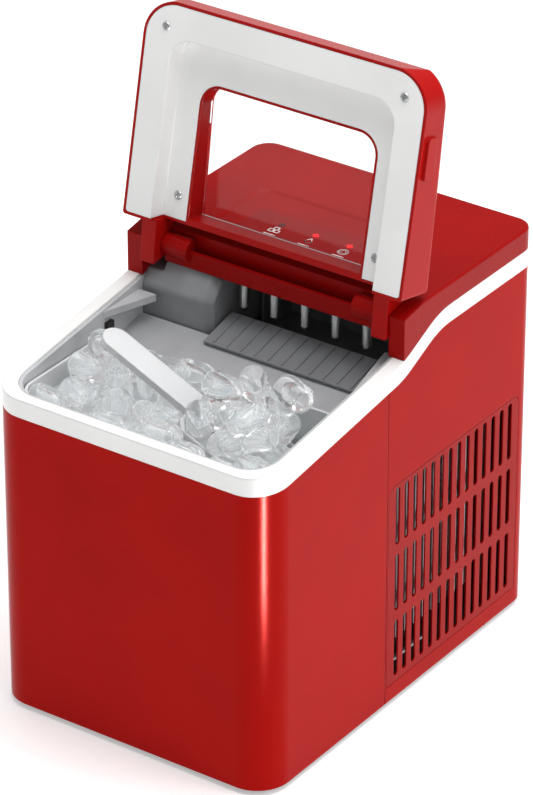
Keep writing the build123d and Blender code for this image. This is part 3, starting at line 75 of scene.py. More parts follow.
def node(tree, kind, values=None, **settings):
    """Adds a node: settings are properties, values are inputs, linked where a socket is given."""
    made = tree.nodes.new(kind)
    for key, value in settings.items():
        setattr(made, key, value)
    for key, value in (values or {}).items():
        if isinstance(value, bpy.types.NodeSocket):
            tree.links.new(value, made.inputs[key])
        else:
            made.inputs[key].default_value = value
    return made


def blank_material(name):
    """A material with an empty tree, and the tree."""
    material = bpy.data.materials.new(name)
    material.use_nodes = True
    material.node_tree.nodes.clear()
    return material, material.node_tree


def new_piece(name, mesh, body, material, smooth=None):
    """A finished mesh as a piece of the machine, riding on a body."""
    piece = bpy.data.objects.new(name, mesh)
    bpy.context.scene.collection.objects.link(piece)
    mesh.materials.clear()
    mesh.materials.append(material)
    if smooth is not None:
        for face in mesh.polygons:
            face.use_smooth = smooth
    if body:
        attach(piece, body)
    return piece


worktop_size = 6.0
worktop_mesh = bpy.data.meshes.new("worktop")
worktop_mesh.from_pydata(
    [(x * worktop_size, y * worktop_size, 0) for x, y in ((-1, -1), (1, -1), (1, 1), (-1, 1))],
    [],
    [(0, 1, 2, 3)],
)
# White laminate, rolled: even and almost matt.
laminate, tree = blank_material("white_laminate")
coords = node(tree, "ShaderNodeTexCoord")
mottle = node(tree, "ShaderNodeTexNoise", {"Vector": coords.outputs["Object"], "Scale": 40.0})
shade = node(tree, "ShaderNodeValToRGB", {"Fac": mottle.outputs["Fac"]})
shade.color_ramp.elements[0].color = linear("#F7F7F7")
shade.color_ramp.elements[1].color = linear("#FCFCFC")
skin = node(
    tree,
    "ShaderNodeBsdfPrincipled",
    {
        "Base Color": shade.outputs["Color"],
        "Roughness": 0.7,
        "Emission Color": linear("#FFFFFF"),
        "Emission Strength": 0.34,
    },
)
node(tree, "ShaderNodeOutputMaterial", {"Surface": skin.outputs["BSDF"]})
worktop = new_piece("worktop", worktop_mesh, None, laminate)

world = bpy.data.worlds.new("bright_room")
bpy.context.scene.world = world
world.use_nodes = True
world.node_tree.nodes["Background"].inputs["Color"].default_value = linear("#FFFFFF")
world.node_tree.nodes["Background"].inputs["Strength"].default_value = 0.36


def soft_light(name, place, target, width, height, watts):
    """A rectangular area light at place, facing target."""
    data = bpy.data.lights.new(name, "AREA")
    data.shape = "RECTANGLE"
    data.size = width
    data.size_y = height
    data.energy = watts
    lamp = bpy.data.objects.new(name, data)
    lamp.location = place
    lamp.visible_camera = False
    lamp.rotation_euler = (Vector(target) - Vector(place)).to_track_quat("-Z", "Y").to_euler()
    bpy.context.scene.collection.objects.link(lamp)
    return lamp


machine_middle = (0, 0, 0.2)
soft_light("overhead", (0.2, 0.2, 1.9), machine_middle, width=1.6, height=1.6, watts=31)
soft_light("right_window", (2.0, 0.3, 1.2), machine_middle, width=1.2, height=1.4, watts=16)
soft_light("left_window", (-1.6, -1.2, 0.9), machine_middle, width=1.0, height=1.2, watts=2)
# The stripe's light lies low beside the corner, because upright walls mirror the worktop.
# It shows only in reflections, so that it doesn't light the paint round the stripe.
stripe_turn = math.radians(55)
stripe_reach = 0.27
stripe_lift = 0.012
stripe_aim = 0.12
corner = Vector((cad_box[1].x - 0.015, cad_box[0].y + 0.012, 0))
stripe_way = Vector((math.sin(stripe_turn), -math.cos(stripe_turn), 0))
stripe_lamp = soft_light(
    "corner_strip",
    corner + stripe_way * stripe_reach + Vector((0, 0, stripe_lift)),
    corner + Vector((0, 0, stripe_aim)),
    width=0.05,
    height=0.46,
    watts=1.0,
)
stripe_lamp.visible_diffuse = False
stripe_lamp.data.spread = math.radians(26)

camera_data = bpy.data.cameras.new("camera")
camera = bpy.data.objects.new("camera", camera_data)
bpy.context.scene.collection.objects.link(camera)
camera.location = (1.55825, -2.21981, 1.71366)
camera_down = 29.20
camera_round = 35.04
camera.rotation_euler = (math.radians(90 - camera_down), 0, math.radians(camera_round))
camera_data.sensor_width = 36.0
camera_data.lens = 211.6
camera_data.shift_x = -0.0014
camera_data.shift_y = -0.0040
bpy.context.scene.camera = camera
bpy.context.scene.view_settings.view_transform = "Standard"

# ---- Painted steel casing -----------------------------------------------------------------
# The wrap of thin sheet steel in two pieces, sprayed red and baked, and the back panel.
# The rear wrap, the front wrap and the panel are screwed to the base.


def wear(tree, edge_mm, grain_mm, depth_mm, coords):
    """The shading normal of an edge eased by edge_mm under a fine grain of that size and depth."""
    eased = node(tree, "ShaderNodeBevel", {"Radius": edge_mm / 1000}, samples=4)
    grain = node(
        tree,
        "ShaderNodeTexNoise",
        {"Vector": coords.outputs["Object"], "Scale": 1000 / grain_mm, "Detail": 2.0},
    )
    bump = node(
        tree,
        "ShaderNodeBump",
        {
            "Height": grain.outputs["Fac"],
            "Distance": depth_mm / 1000,
            "Strength": 1.0,
            "Normal": eased.outputs["Normal"],
        },
    )
    return grain, bump


def moulded(name, dark, light, rough, grain_mm, depth_mm, edge_mm=0.5, cloud_mm=25.0, **sockets):
    """A moulded or sprayed finish: two near shades in soft clouds, a fine grain, eased edges."""
    material, tree = blank_material(name)
    coords = node(tree, "ShaderNodeTexCoord")
    grain, bump = wear(tree, edge_mm, grain_mm, depth_mm, coords)
    cloud = node(
        tree,
        "ShaderNodeTexNoise",
        {"Vector": coords.outputs["Object"], "Scale": 1000 / cloud_mm, "Detail": 3.0},
    )
    ramp = node(tree, "ShaderNodeValToRGB", {"Fac": cloud.outputs["Fac"]})
    ramp.color_ramp.elements[0].position = 0.3
    ramp.color_ramp.elements[0].color = linear(dark)
    ramp.color_ramp.elements[1].position = 0.7
    ramp.color_ramp.elements[1].color = linear(light)
    gloss = node(
        tree,
        "ShaderNodeMapRange",
        {"Value": grain.outputs["Fac"], "To Min": rough - 0.04, "To Max": rough + 0.04},
    )
    values = {
        "Base Color": ramp.outputs["Color"],
        "Roughness": gloss.outputs["Result"],
        "Normal": bump.outputs["Normal"],
    }
    values.update({key.replace("_", " "): value for key, value in sockets.items()})
    skin = node(tree, "ShaderNodeBsdfPrincipled", values)
    node(tree, "ShaderNodeOutputMaterial", {"Surface": skin.outputs["BSDF"]})
    return material


def finish(material, *names):
    """Gives carried-over frame pieces this material."""
    for name in names:
        mesh = nodes[name].data
        mesh.materials.clear()
        mesh.materials.append(material)
        for face in mesh.polygons:
            face.material_index = 0


# Stove enamel: even deep red with a faint orange peel about 2 mm across.
red_paint = moulded(
    "baked_red_paint", "#A20D0A", "#AA0F0B", 0.19, 2.2, 0.006, edge_mm=1.0, cloud_mm=60.0,
    Metallic=0.05, Specular_IOR_Level=0.055, Specular_Tint=linear("#FFC4B6"),
)
finish(red_paint, "front_casing", "rear_casing", "rear_panel")

# ---- Side grilles -------------------------------------------------------------------------
# Red ABS panels with long upright slots, clipped into the side openings.
# Moulded with a fine spark-eroded texture, a little less glossy than the steel.
grille_plastic = moulded(
    "red_abs", "#960C0A", "#9E0E0B", 0.40, 0.9, 0.010, edge_mm=0.5,
    Specular_IOR_Level=0.12, Specular_Tint=linear("#FF7866"),
)
finish(grille_plastic, "right_grille", "left_grille")

# ---- Base, feet and mains inlet -----------------------------------------------------------
# A dark polypropylene base pan on four rubber feet, screwed up from below, and a black
# three-pin inlet that snaps into the back panel.
# Moulded polypropylene: dark and dull, with a fine leathery grain.
base_plastic = moulded("dark_polypropylene", "#202124", "#2A2B2E", 0.55, 0.8, 0.02)
finish(base_plastic, "base_pan")
# Pressed rubber: black and matt.
foot_rubber = moulded("foot_rubber", "#121212", "#1A1A1A", 0.8, 0.6, 0.03)
finish(foot_rubber, "rubber_feet")
# Moulded nylon: black with a low gloss.
inlet_plastic = moulded("black_nylon", "#0B0B0C", "#141415", 0.42, 0.6, 0.01)
finish(inlet_plastic, "power_inlet")

# ---- White trim ---------------------------------------------------------------------------
# The rim round the mouth, which runs back under the cover: white ABS, moulded smooth and
# snapped over the top of the casing.
# Polished mould, so the white is clean and softly glossy.
white_abs = moulded(
    "white_abs", "#F1F1F0", "#F8F8F7", 0.30, 1.6, 0.004, edge_mm=1.6, cloud_mm=50.0, Coat_Weight=0.2
)
finish(white_abs, "trim_rim")

# ---- Tank and ice path --------------------------------------------------------------------
# The grey polypropylene tank, the ice slide and the shovel that pushes the ice down it.
# The basket lifts out. All are moulded satin, with the soft mottle that cold water leaves.
tank_plastic = moulded("grey_polypropylene", "#B6B8BA", "#C4C6C8", 0.32, 1.6, 0.010)
finish(tank_plastic, "inner_tank")
slide_plastic = moulded("slide_polypropylene", "#A6A8AA", "#B2B4B6", 0.30, 1.6, 0.010)
finish(slide_plastic, "ice_slide", "tray_bearing")
shovel_plastic = moulded("shovel_polypropylene", "#7C7E81", "#888A8D", 0.32, 1.6, 0.010)
finish(shovel_plastic, "ice_shovel")
tray_plastic = moulded("tray_polypropylene", "#7E8083", "#8A8C8F", 0.32, 1.6, 0.010)
finish(tray_plastic, "water_tray")
housing_plastic = moulded(
    "housing_polypropylene", "#86888B", "#949699", 0.34, 1.6, 0.010, edge_mm=2.5
)
finish(housing_plastic, "motor_housing")
basket_plastic = moulded("basket_polypropylene", "#CFD1D2", "#DCDEDF", 0.30, 1.6, 0.010)
finish(basket_plastic, "ice_basket")

# ---- Foam round the tank ------------------------------------------------------------------
# The jacket that keeps the tank cold, moulded in one piece and pushed up round it.
# Expanded polystyrene: white beads about 3 mm across, pressed together.
foam, tree = blank_material("expanded_polystyrene")
coords = node(tree, "ShaderNodeTexCoord")
beads = node(tree, "ShaderNodeTexVoronoi", {"Vector": coords.outputs["Object"], "Scale": 330.0})
beads_tone = node(tree, "ShaderNodeValToRGB", {"Fac": beads.outputs["Distance"]})
beads_tone.color_ramp.elements[0].color = linear("#F4F4F1")
beads_tone.color_ramp.elements[1].color = linear("#DADAD4")
beads_bump = node(
    tree,
    "ShaderNodeBump",
    {"Height": beads.outputs["Distance"], "Distance": 0.0004},
    invert=True,
)
skin = node(
    tree,
    "ShaderNodeBsdfPrincipled",
    {
        "Base Color": beads_tone.outputs["Color"],
        "Roughness": 0.8,
        "Normal": beads_bump.outputs["Normal"],
    },
)
node(tree, "ShaderNodeOutputMaterial", {"Surface": skin.outputs["BSDF"]})
finish(foam, "tank_insulation")

# ---- Freezing rods ------------------------------------------------------------------------
# Nickel-plated copper fingers on a plated manifold. Plating is bright, with a breath of frost
# towards the tips, where the ice grows.
nickel, tree = blank_material("nickel_plating")
frost_start = 0.262
frost_full = 0.244
coords = node(tree, "ShaderNodeTexCoord")
height = node(tree, "ShaderNodeSeparateXYZ", {"Vector": coords.outputs["Object"]})
frost_line = node(
    tree,
    "ShaderNodeMapRange",
    {"Value": height.outputs["Z"], "From Min": frost_start, "From Max": frost_full},
)
frost_grain = node(tree, "ShaderNodeTexNoise", {"Vector": coords.outputs["Object"], "Scale": 300.0})
frost = node(
    tree,
    "ShaderNodeMath",
    {0: frost_line.outputs["Result"], 1: frost_grain.outputs["Fac"]},
    operation="MULTIPLY",
)
frost_tone = node(tree, "ShaderNodeValToRGB", {"Fac": frost.outputs["Value"]})
frost_tone.color_ramp.elements[0].color = linear("#E2E2E0")
frost_tone.color_ramp.elements[1].color = linear("#EDEFF1")
frost_rough = node(
    tree, "ShaderNodeMapRange", {"Value": frost.outputs["Value"], "To Min": 0.10, "To Max": 0.4}
)
frost_bump = node(tree, "ShaderNodeBump", {"Height": frost.outputs["Value"], "Distance": 0.00002})
skin = node(
    tree,
    "ShaderNodeBsdfPrincipled",
    {
        "Base Color": frost_tone.outputs["Color"],
        "Metallic": 1.0,
        "Roughness": frost_rough.outputs["Result"],
        "Normal": frost_bump.outputs["Normal"],
    },
)
node(tree, "ShaderNodeOutputMaterial", {"Surface": skin.outputs["BSDF"]})
finish(nickel, "freezing_rods", "evaporator_manifold")

# ---- Ice bullets --------------------------------------------------------------------------
# Clear thimbles of ice as the rods leave them: a domed end, a bore where the rod was, and
# walls that have started to melt. They fill the basket in a loose heap round the scoop.
ice, tree = blank_material("clear_ice")
coords = node(tree, "ShaderNodeTexCoord")
melt = node(
    tree,
    "ShaderNodeTexNoise",
    {"Vector": coords.outputs["Object"], "Scale": 260.0, "Detail": 2.0},
)
haze = node(
    tree,
    "ShaderNodeTexNoise",
    {"Vector": coords.outputs["Object"], "Scale": 90.0, "Detail": 3.0},
)
haze_tone = node(tree, "ShaderNodeValToRGB", {"Fac": haze.outputs["Fac"]})
haze_tone.color_ramp.elements[0].position = 0.35
haze_tone.color_ramp.elements[0].color = linear("#FFFFFF")
haze_tone.color_ramp.elements[1].position = 0.75
haze_tone.color_ramp.elements[1].color = linear("#E6ECEF")
haze_rough = node(
    tree,
    "ShaderNodeMapRange",
    {
        "Value": haze.outputs["Fac"],
        "From Min": 0.4,
        "From Max": 0.75,
        "To Min": 0.005,
        "To Max": 0.05,
    },
)
melt_bump = node(tree, "ShaderNodeBump", {"Height": melt.outputs["Fac"], "Distance": 0.00005})
skin = node(
    tree,
    "ShaderNodeBsdfPrincipled",
    {
        "Base Color": haze_tone.outputs["Color"],
        "Roughness": haze_rough.outputs["Result"],
        "Normal": melt_bump.outputs["Normal"],
        "Transmission Weight": 0.96,
        "IOR": 1.31,
        # The faint white glow is painted light: it brightens the ice in the dim basket, though ice
        # gives off no light.
        "Emission Color": linear("#FFFFFF"),
        "Emission Strength": 0.055,
    },
)
node(tree, "ShaderNodeOutputMaterial", {"Surface": skin.outputs["BSDF"]})

bullet_radius = 0.0098
bullet_length = 0.0275
bore_radius = 0.0052
bore_depth = 0.020
lip = 0.0016
dome = 0.0092
bullet_sides = 18


def bullet_mesh():
    """One bullet, its middle at the origin and its bore opening towards +Z."""
    profile = [(0.0, 0.0)]
    for i in range(1, 6):
        angle = math.radians(18 * i)
        profile.append((bullet_radius * math.sin(angle), dome * (1 - math.cos(angle))))
    profile += [
        (bullet_radius * 0.985, bullet_length * 0.7),
        (bullet_radius * 0.95, bullet_length - lip),
        (bullet_radius * 0.86, bullet_length),
        (bore_radius + 0.0012, bullet_length - 0.0002),
        (bore_radius, bullet_length - 0.0018),
        (bore_radius * 0.86, bullet_length - bore_depth + 0.005),
        (bore_radius * 0.55, bullet_length - bore_depth + 0.001),
        (0.0, bullet_length - bore_depth),
    ]
    shape = bmesh.new()
    rings = []
    for radius, z in profile:
        if radius == 0:
            rings.append([shape.verts.new((0, 0, z - bullet_length / 2))])
            continue
        turns = [2 * math.pi * k / bullet_sides for k in range(bullet_sides)]
        rings.append(
            [
                shape.verts.new((radius * math.cos(t), radius * math.sin(t), z - bullet_length / 2))
                for t in turns
            ]
        )
    for low, high in zip(rings, rings[1:]):
        for k in range(bullet_sides):
            below = [low[k % len(low)], low[(k + 1) % len(low)]]
            above = [high[(k + 1) % len(high)], high[k % len(high)]]
            shape.faces.new(list(dict.fromkeys(below + above)))
    bmesh.ops.recalc_face_normals(shape, faces=shape.faces)
    mesh = bpy.data.meshes.new("bullet")
    shape.to_mesh(mesh)
    shape.free()
    for face in mesh.polygons:
        face.use_smooth = True
    return mesh


def placed_copies(name, shape_mesh, places, turns, body, material, spread=0.0, seed=3):
    """Copies of a mesh at places, turned by Euler angles, made with Geometry Nodes as one piece."""
    shape = bpy.data.objects.new(name + "_shape", shape_mesh)
    points = bpy.data.meshes.new(name + "_points")
    points.from_pydata([tuple(p) for p in places], [], [])
    turn = points.attributes.new("turn", "FLOAT_VECTOR", "POINT")
    turn.data.foreach_set("vector", [a for t in turns for a in t])
    holder = bpy.data.objects.new(name + "_holder", points)
    bpy.context.scene.collection.objects.link(holder)
    group = bpy.data.node_groups.new(name, "GeometryNodeTree")
    sockets = {}
    for label, kind in (
        ("Points", "NodeSocketGeometry"),
        ("Shape", "NodeSocketObject"),
        ("Material", "NodeSocketMaterial"),
        ("Smallest", "NodeSocketFloat"),
        ("Largest", "NodeSocketFloat"),
        ("Seed", "NodeSocketInt"),
    ):
        made = group.interface.new_socket(label, in_out="INPUT", socket_type=kind)
        sockets[label] = made.identifier
    group.interface.new_socket("Geometry", in_out="OUTPUT", socket_type="NodeSocketGeometry")
    given = node(group, "NodeGroupInput")
    one = node(group, "GeometryNodeObjectInfo", {"Object": given.outputs["Shape"]})
    angle = node(
        group, "GeometryNodeInputNamedAttribute", {"Name": "turn"}, data_type="FLOAT_VECTOR"
    )
    size = node(
        group,
        "FunctionNodeRandomValue",
        {2: given.outputs["Smallest"], 3: given.outputs["Largest"], "Seed": given.outputs["Seed"]},
        data_type="FLOAT",
    )
    copies = node(
        group,
        "GeometryNodeInstanceOnPoints",
        {
            "Points": given.outputs["Points"],
            "Instance": one.outputs["Geometry"],
            "Rotation": angle.outputs["Attribute"],
            "Scale": size.outputs[1],
        },
    )
    real = node(group, "GeometryNodeRealizeInstances", {"Geometry": copies.outputs["Instances"]})
    coat = node(
        group,
        "GeometryNodeSetMaterial",
        {"Geometry": real.outputs["Geometry"], "Material": given.outputs["Material"]},
    )
    node(group, "NodeGroupOutput", {"Geometry": coat.outputs["Geometry"]})
    modifier = holder.modifiers.new(name, "NODES")
    modifier.node_group = group
    modifier[sockets["Shape"]] = shape
    modifier[sockets["Material"]] = material
    modifier[sockets["Smallest"]] = 1.0 - spread
    modifier[sockets["Largest"]] = 1.0
    modifier[sockets["Seed"]] = seed
    evaluated = holder.evaluated_get(bpy.context.evaluated_depsgraph_get())
    mesh = bpy.data.meshes.new_from_object(evaluated)
    bpy.data.objects.remove(holder)
    bpy.data.objects.remove(shape)
    return new_piece(name, mesh, body, material)


# The heap's upper limit follows the underside of the closed lid, and leaves the scoop's way out.
basket_low, basket_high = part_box("ice_basket")
scoop_low, scoop_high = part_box("ice_scoop")
scoop_lean = math.radians(24)
blade_length = 0.082
blade_width = 0.058
handle_width = 0.020
scoop_origin = Vector((0.004, (scoop_low.y + scoop_high.y) / 2, basket_high.z - 0.0225))
rim_front_height = 0.2383
rim_slope = math.tan(math.radians(7.35))
wall_room = 0.0106
basket_wall = 0.002
liner_front = -0.105
liner_side = 0.075
under_liner = 0.0125
in_recess = 0.0015
rear_edge = -0.074
rear_top = 0.241
blade_tip_room = 0.010
handle_start = 0.008
handle_end = 0.088
handle_lift = 0.016
scoop_clearance = 0.0098
scoop_under = 0.0125


def roof(x, y):
    """Highest place for a bullet's middle at x, y."""
    rim = rim_front_height + (y - cad_box[0].y) * rim_slope
    flat_liner = y < liner_front or abs(x) > liner_side
    top = rim - under_liner if flat_liner else rim + in_recess
    if y > rear_edge:
        top = min(top, rear_top)
    along = (scoop_origin.x - x) / math.cos(scoop_lean)
    across = abs(y - scoop_origin.y)
    half = blade_width / 2 if along < handle_start else handle_width / 2
    if -blade_length - blade_tip_room < along < handle_end and across < half + scoop_clearance:
        underside = scoop_origin.z + along * math.sin(scoop_lean)
        if along > handle_start:
            underside += handle_lift
        top = min(top, underside - scoop_under)
    return top


bullet_gap = 0.0192
patience = 24


def heap(seed, tries, low, high, floor, ceiling):
    """Middles of bullets dropped one by one, each settling at the lowest place found."""
    draw = random.Random(seed)
    settled = []
    misses = 0
    while misses < patience:
        best = None
        for _ in range(tries):
            x = draw.uniform(low[0], high[0])
            y = draw.uniform(low[1], high[1])
            z = floor(x, y)
            for p in settled:
                flat = (p.x - x) ** 2 + (p.y - y) ** 2
                if flat < bullet_gap * bullet_gap:
                    z = max(z, p.z + math.sqrt(bullet_gap * bullet_gap - flat))
            if z <= ceiling(x, y) and (best is None or z < best.z):
                best = Vector((x, y, z))
        if best is None:
            misses += 1
        else:
            settled.append(best)
    return settled


lying_share = 0.72
near_roof = 0.005
near_wall = 0.007
beside_start = 0.012


def loose_turns(places, seed):
    """A turn for each bullet: most lie down, level under the lid and along walls and blade."""
    draw = random.Random(seed)
    turns = []
    for place in places:
        lying = draw.random() < lying_share
        lean = draw.uniform(60, 125) if lying else draw.uniform(5, 50)
        heading = draw.uniform(0, 2 * math.pi)
        if place.z > roof(place.x, place.y) - near_roof:
            lean = draw.uniform(84, 96)
        from_middle = abs(place.y - scoop_origin.y)
        if from_middle > blade_width / 2 and place.x > scoop_origin.x - beside_start:
            lean = draw.uniform(84, 96)
            heading = math.radians(draw.choice((90, 270)) + draw.uniform(-14, 14))
        if min(basket_high.y - place.y, place.y - basket_low.y) < wall_room + near_wall:
            lean = draw.uniform(86, 94)
            heading = math.radians(draw.choice((90, 270)) + draw.uniform(-7, 7))
        elif min(basket_high.x - place.x, place.x - basket_low.x) < wall_room + near_wall:
            lean = draw.uniform(86, 94)
            heading = math.radians(draw.choice((0, 180)) + draw.uniform(-7, 7))
        turns.append((math.radians(lean), 0, heading))
    return turns


places = heap(
    11,
    120,
    (basket_low.x + basket_wall + wall_room, basket_low.y + basket_wall + wall_room),
    (basket_high.x - basket_wall - wall_room, basket_high.y - basket_wall - wall_room),
    lambda x, y: basket_low.z + basket_wall + bullet_radius,
    roof,
)
turns = loose_turns(places, 29)
placed_copies(
    "ice_heap", bullet_mesh(), places, turns, "basket", ice, spread=0.06
)

# ---- Scoop --------------------------------------------------------------------------------
# Frosted polypropylene, blade and handle moulded in one piece. It lies on the heap with a
# load of ice on its blade.
# The frosting makes it milky, so only a little light comes through.
scoop_plastic, tree = blank_material("frosted_polypropylene")
coords = node(tree, "ShaderNodeTexCoord")
grain, bump = wear(tree, 1.0, 0.9, 0.01, coords)
scoop_tone = node(tree, "ShaderNodeValToRGB", {"Fac": grain.outputs["Fac"]})
scoop_tone.color_ramp.elements[0].color = linear("#E9EBEC")
scoop_tone.color_ramp.elements[1].color = linear("#F6F7F8")
skin = node(
    tree,
    "ShaderNodeBsdfPrincipled",
    {
        "Base Color": scoop_tone.outputs["Color"],
        "Roughness": 0.34,
        "Normal": bump.outputs["Normal"],
        "Transmission Weight": 0.30,
        "IOR": 1.49,
    },
)
node(tree, "ShaderNodeOutputMaterial", {"Surface": skin.outputs["BSDF"]})
finish(scoop_plastic, "ice_scoop")

blade_wall = 0.0024
blade_skin = 0.0026
blade_half = blade_width / 2 - blade_wall - bullet_radius
blade_depth = 0.021
wall_dip = 0.004
over_rim = 0.004
heap_over = 0.005
blade_near = 0.012
blade_far = 0.066


def blade_floor(x, y):
    """Height of a bullet's middle lying on the blade, or on its side wall, at x."""
    along = (scoop_origin.x - x) / math.cos(scoop_lean)
    surface = scoop_origin.z + along * math.sin(scoop_lean) + blade_skin
    inside = surface + bullet_radius / math.cos(scoop_lean)
    if abs(y - scoop_origin.y) > blade_half:
        return inside + blade_depth - wall_dip
    return inside


def blade_roof(x, y):
    """Highest place for a bullet's middle over the blade, under the closed lid."""
    return rim_front_height + (y - cad_box[0].y) * rim_slope + over_rim


scoop_places = heap(
    5,
    90,
    (scoop_origin.x + blade_near, scoop_origin.y - blade_half - heap_over),
    (scoop_origin.x + blade_far, scoop_origin.y + blade_half + heap_over),
    blade_floor,
    blade_roof,
)
scoop_turns = loose_turns(scoop_places, 41)
placed_copies(
    "scoop_ice",
    bullet_mesh(),
    scoop_places,
    scoop_turns,
    "scoop",
    ice,
    spread=0.08,
    seed=8,
)

# ---- Top cover ----------------------------------------------------------------------------
# Deep red ABS moulded in one shell, with a shallow pocket for the controls and two blocks
# that hold the lid's hinge pins. It is fixed down on the trim.
# Polished mould: deep red with a soft gloss.
cover_abs = moulded(
    "gloss_red_abs", "#940A09", "#9E0C0B", 0.26, 2.4, 0.003, edge_mm=1.2, cloud_mm=70.0,
    Specular_IOR_Level=0.08
)
finish(cover_abs, "top_cover")
# Ground steel: grey and bright, with marks too fine to see singly.
pin_steel = moulded("ground_steel", "#9A9B9D", "#B0B1B3", 0.3, 0.5, 0.004, Metallic=1.0)
finish(pin_steel, "hinge_pins")

# ---- Control panel ------------------------------------------------------------------------
# A thin gloss film over the pocket, two keys and three lamps with printed marks behind them.
# The first lamp is off. The marks are plain drawings: a heap of ice, a drop and a fan.
# Polyester film: smooth and glossy. The keys are ABS, a little duller.
film = moulded(
    "gloss_film", "#8E0809", "#980A0A", 0.22, 3.0, 0.001, edge_mm=0.2, Specular_IOR_Level=0.16
)
finish(film, "control_overlay")
key_plastic = moulded("key_abs", "#8A0A0B", "#940C0D", 0.30, 0.8, 0.006, edge_mm=0.8)
finish(key_plastic, "select_button", "power_button")

# Red acrylic: dark when off, and glowing where its lamp is on.
lamp, tree = blank_material("red_acrylic_lamp")
lit_from = -0.014
lit_to = -0.012
coords = node(tree, "ShaderNodeTexCoord")
across = node(tree, "ShaderNodeSeparateXYZ", {"Vector": coords.outputs["Object"]})
lit = node(
    tree,
    "ShaderNodeMapRange",
    {"Value": across.outputs["X"], "From Min": lit_from, "From Max": lit_to},
)
lamp_tone = node(tree, "ShaderNodeValToRGB", {"Fac": lit.outputs["Result"]})
lamp_tone.color_ramp.elements[0].color = linear("#5A0A0C")
lamp_tone.color_ramp.elements[1].color = linear("#F0080A")
glow = node(tree, "ShaderNodeMapRange", {"Value": lit.outputs["Result"], "To Max": 0.7})
skin = node(
    tree,
    "ShaderNodeBsdfPrincipled",
    {
        "Base Color": lamp_tone.outputs["Color"],
        "Roughness": 0.12,
        "Emission Color": lamp_tone.outputs["Color"],
        "Emission Strength": glow.outputs["Result"],
    },
)
node(tree, "ShaderNodeOutputMaterial", {"Surface": skin.outputs["BSDF"]})
finish(lamp, "indicator_lenses")

# Screen-printed ink: plain white, laid a little thicker than real so that it shows.
ink = moulded("printed_ink", "#FFFFFF", "#FBF6F6", 0.5, 0.5, 0.001, edge_mm=0.05)
overlay_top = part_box("control_overlay")[1].z
ink_width = 0.00075
ink_height = 0.00008
ink_sunk = 0.00002
shortest_step = 1e-7


def ring_points(x, y, radius, start=0, end=360, steps=20):
    """Points round an arc on the panel."""
    angles = [math.radians(start + (end - start) * k / steps) for k in range(steps + 1)]
    return [(x + radius * math.cos(a), y + radius * math.sin(a)) for a in angles]


def ink_mesh(name, lines):
    """Flat printed lines as low ribbons on the panel."""
    shape = bmesh.new()
    for line in lines:
        for (x0, y0), (x1, y1) in zip(line, line[1:]):
            step = Vector((x1 - x0, y1 - y0, 0))
            if step.length < shortest_step:
                continue
            side = Vector((-step.y, step.x, 0)).normalized() * ink_width / 2
            end = step.normalized() * ink_width * 0.4
            base = [Vector((x0, y0, 0)) - end, Vector((x1, y1, 0)) + end]
            ring = [base[0] + side, base[0] - side, base[1] - side, base[1] + side]
            low = [shape.verts.new(p + Vector((0, 0, overlay_top - ink_sunk))) for p in ring]
            high = [shape.verts.new(p + Vector((0, 0, overlay_top + ink_height))) for p in ring]
            shape.faces.new(high)
            shape.faces.new(low[::-1])
            for k in range(4):
                shape.faces.new((low[k], low[(k + 1) % 4], high[(k + 1) % 4], high[k]))
    bmesh.ops.recalc_face_normals(shape, faces=shape.faces)
    mesh = bpy.data.meshes.new(name)
    shape.to_mesh(mesh)
    shape.free()
    return mesh


mark_y = 0.0495
ice_x = -0.027
drop_x = 0.0005
fan_x = 0.028
cube_half = 0.0017
line_half = 0.0042
line_drop = 0.0066
blade_turn = 0.0015
mark_lines = []
for dx, dy in ((-0.0022, 0), (0.0022, 0), (0, 0.0036)):
    x, y = ice_x + dx, mark_y - 0.001 + dy
    s = cube_half
    square = [(x - s, y - s), (x + s, y - s), (x + s, y + s), (x - s, y + s)]
    mark_lines.append(square + square[:1])
drop = ring_points(drop_x, mark_y - 0.0006, 0.0023, 150, 390)
mark_lines.append(drop + [(drop_x, mark_y + 0.0040), drop[0]])
mark_lines.append(ring_points(fan_x, mark_y, 0.0036))
for k in range(3):
    a = math.radians(120 * k + 90)
    x, y = fan_x + blade_turn * math.cos(a), mark_y + blade_turn * math.sin(a)
    mark_lines.append(ring_points(x, y, 0.0013, 120 * k, 120 * k + 200, 8))
for x in (ice_x, drop_x, fan_x):
    mark_lines.append([(x - line_half, mark_y - line_drop), (x + line_half, mark_y - line_drop)])
new_piece("panel_marks", ink_mesh("panel_marks", mark_lines), "frame", ink)

# ---- Lid ----------------------------------------------------------------------------------
# A gloss red outer shell over a white liner, held together by four screws, with a clear pane.
# The pane sits at the bottom of a recess, edged by the red of the shell.
# Polished red ABS outside, and a plain white one for the liner.
lid_abs = moulded(
    "lid_red_abs", "#A60E0C", "#B0110E", 0.22, 2.4, 0.003, edge_mm=1.4, cloud_mm=70.0,
    Specular_IOR_Level=0.10,
)
finish(lid_abs, "lid_shell")
liner_abs = moulded(
    "liner_white_abs", "#F3F3F2", "#FAFAF9", 0.34, 1.6, 0.004, edge_mm=1.2, cloud_mm=50.0
)
finish(liner_abs, "lid_liner")

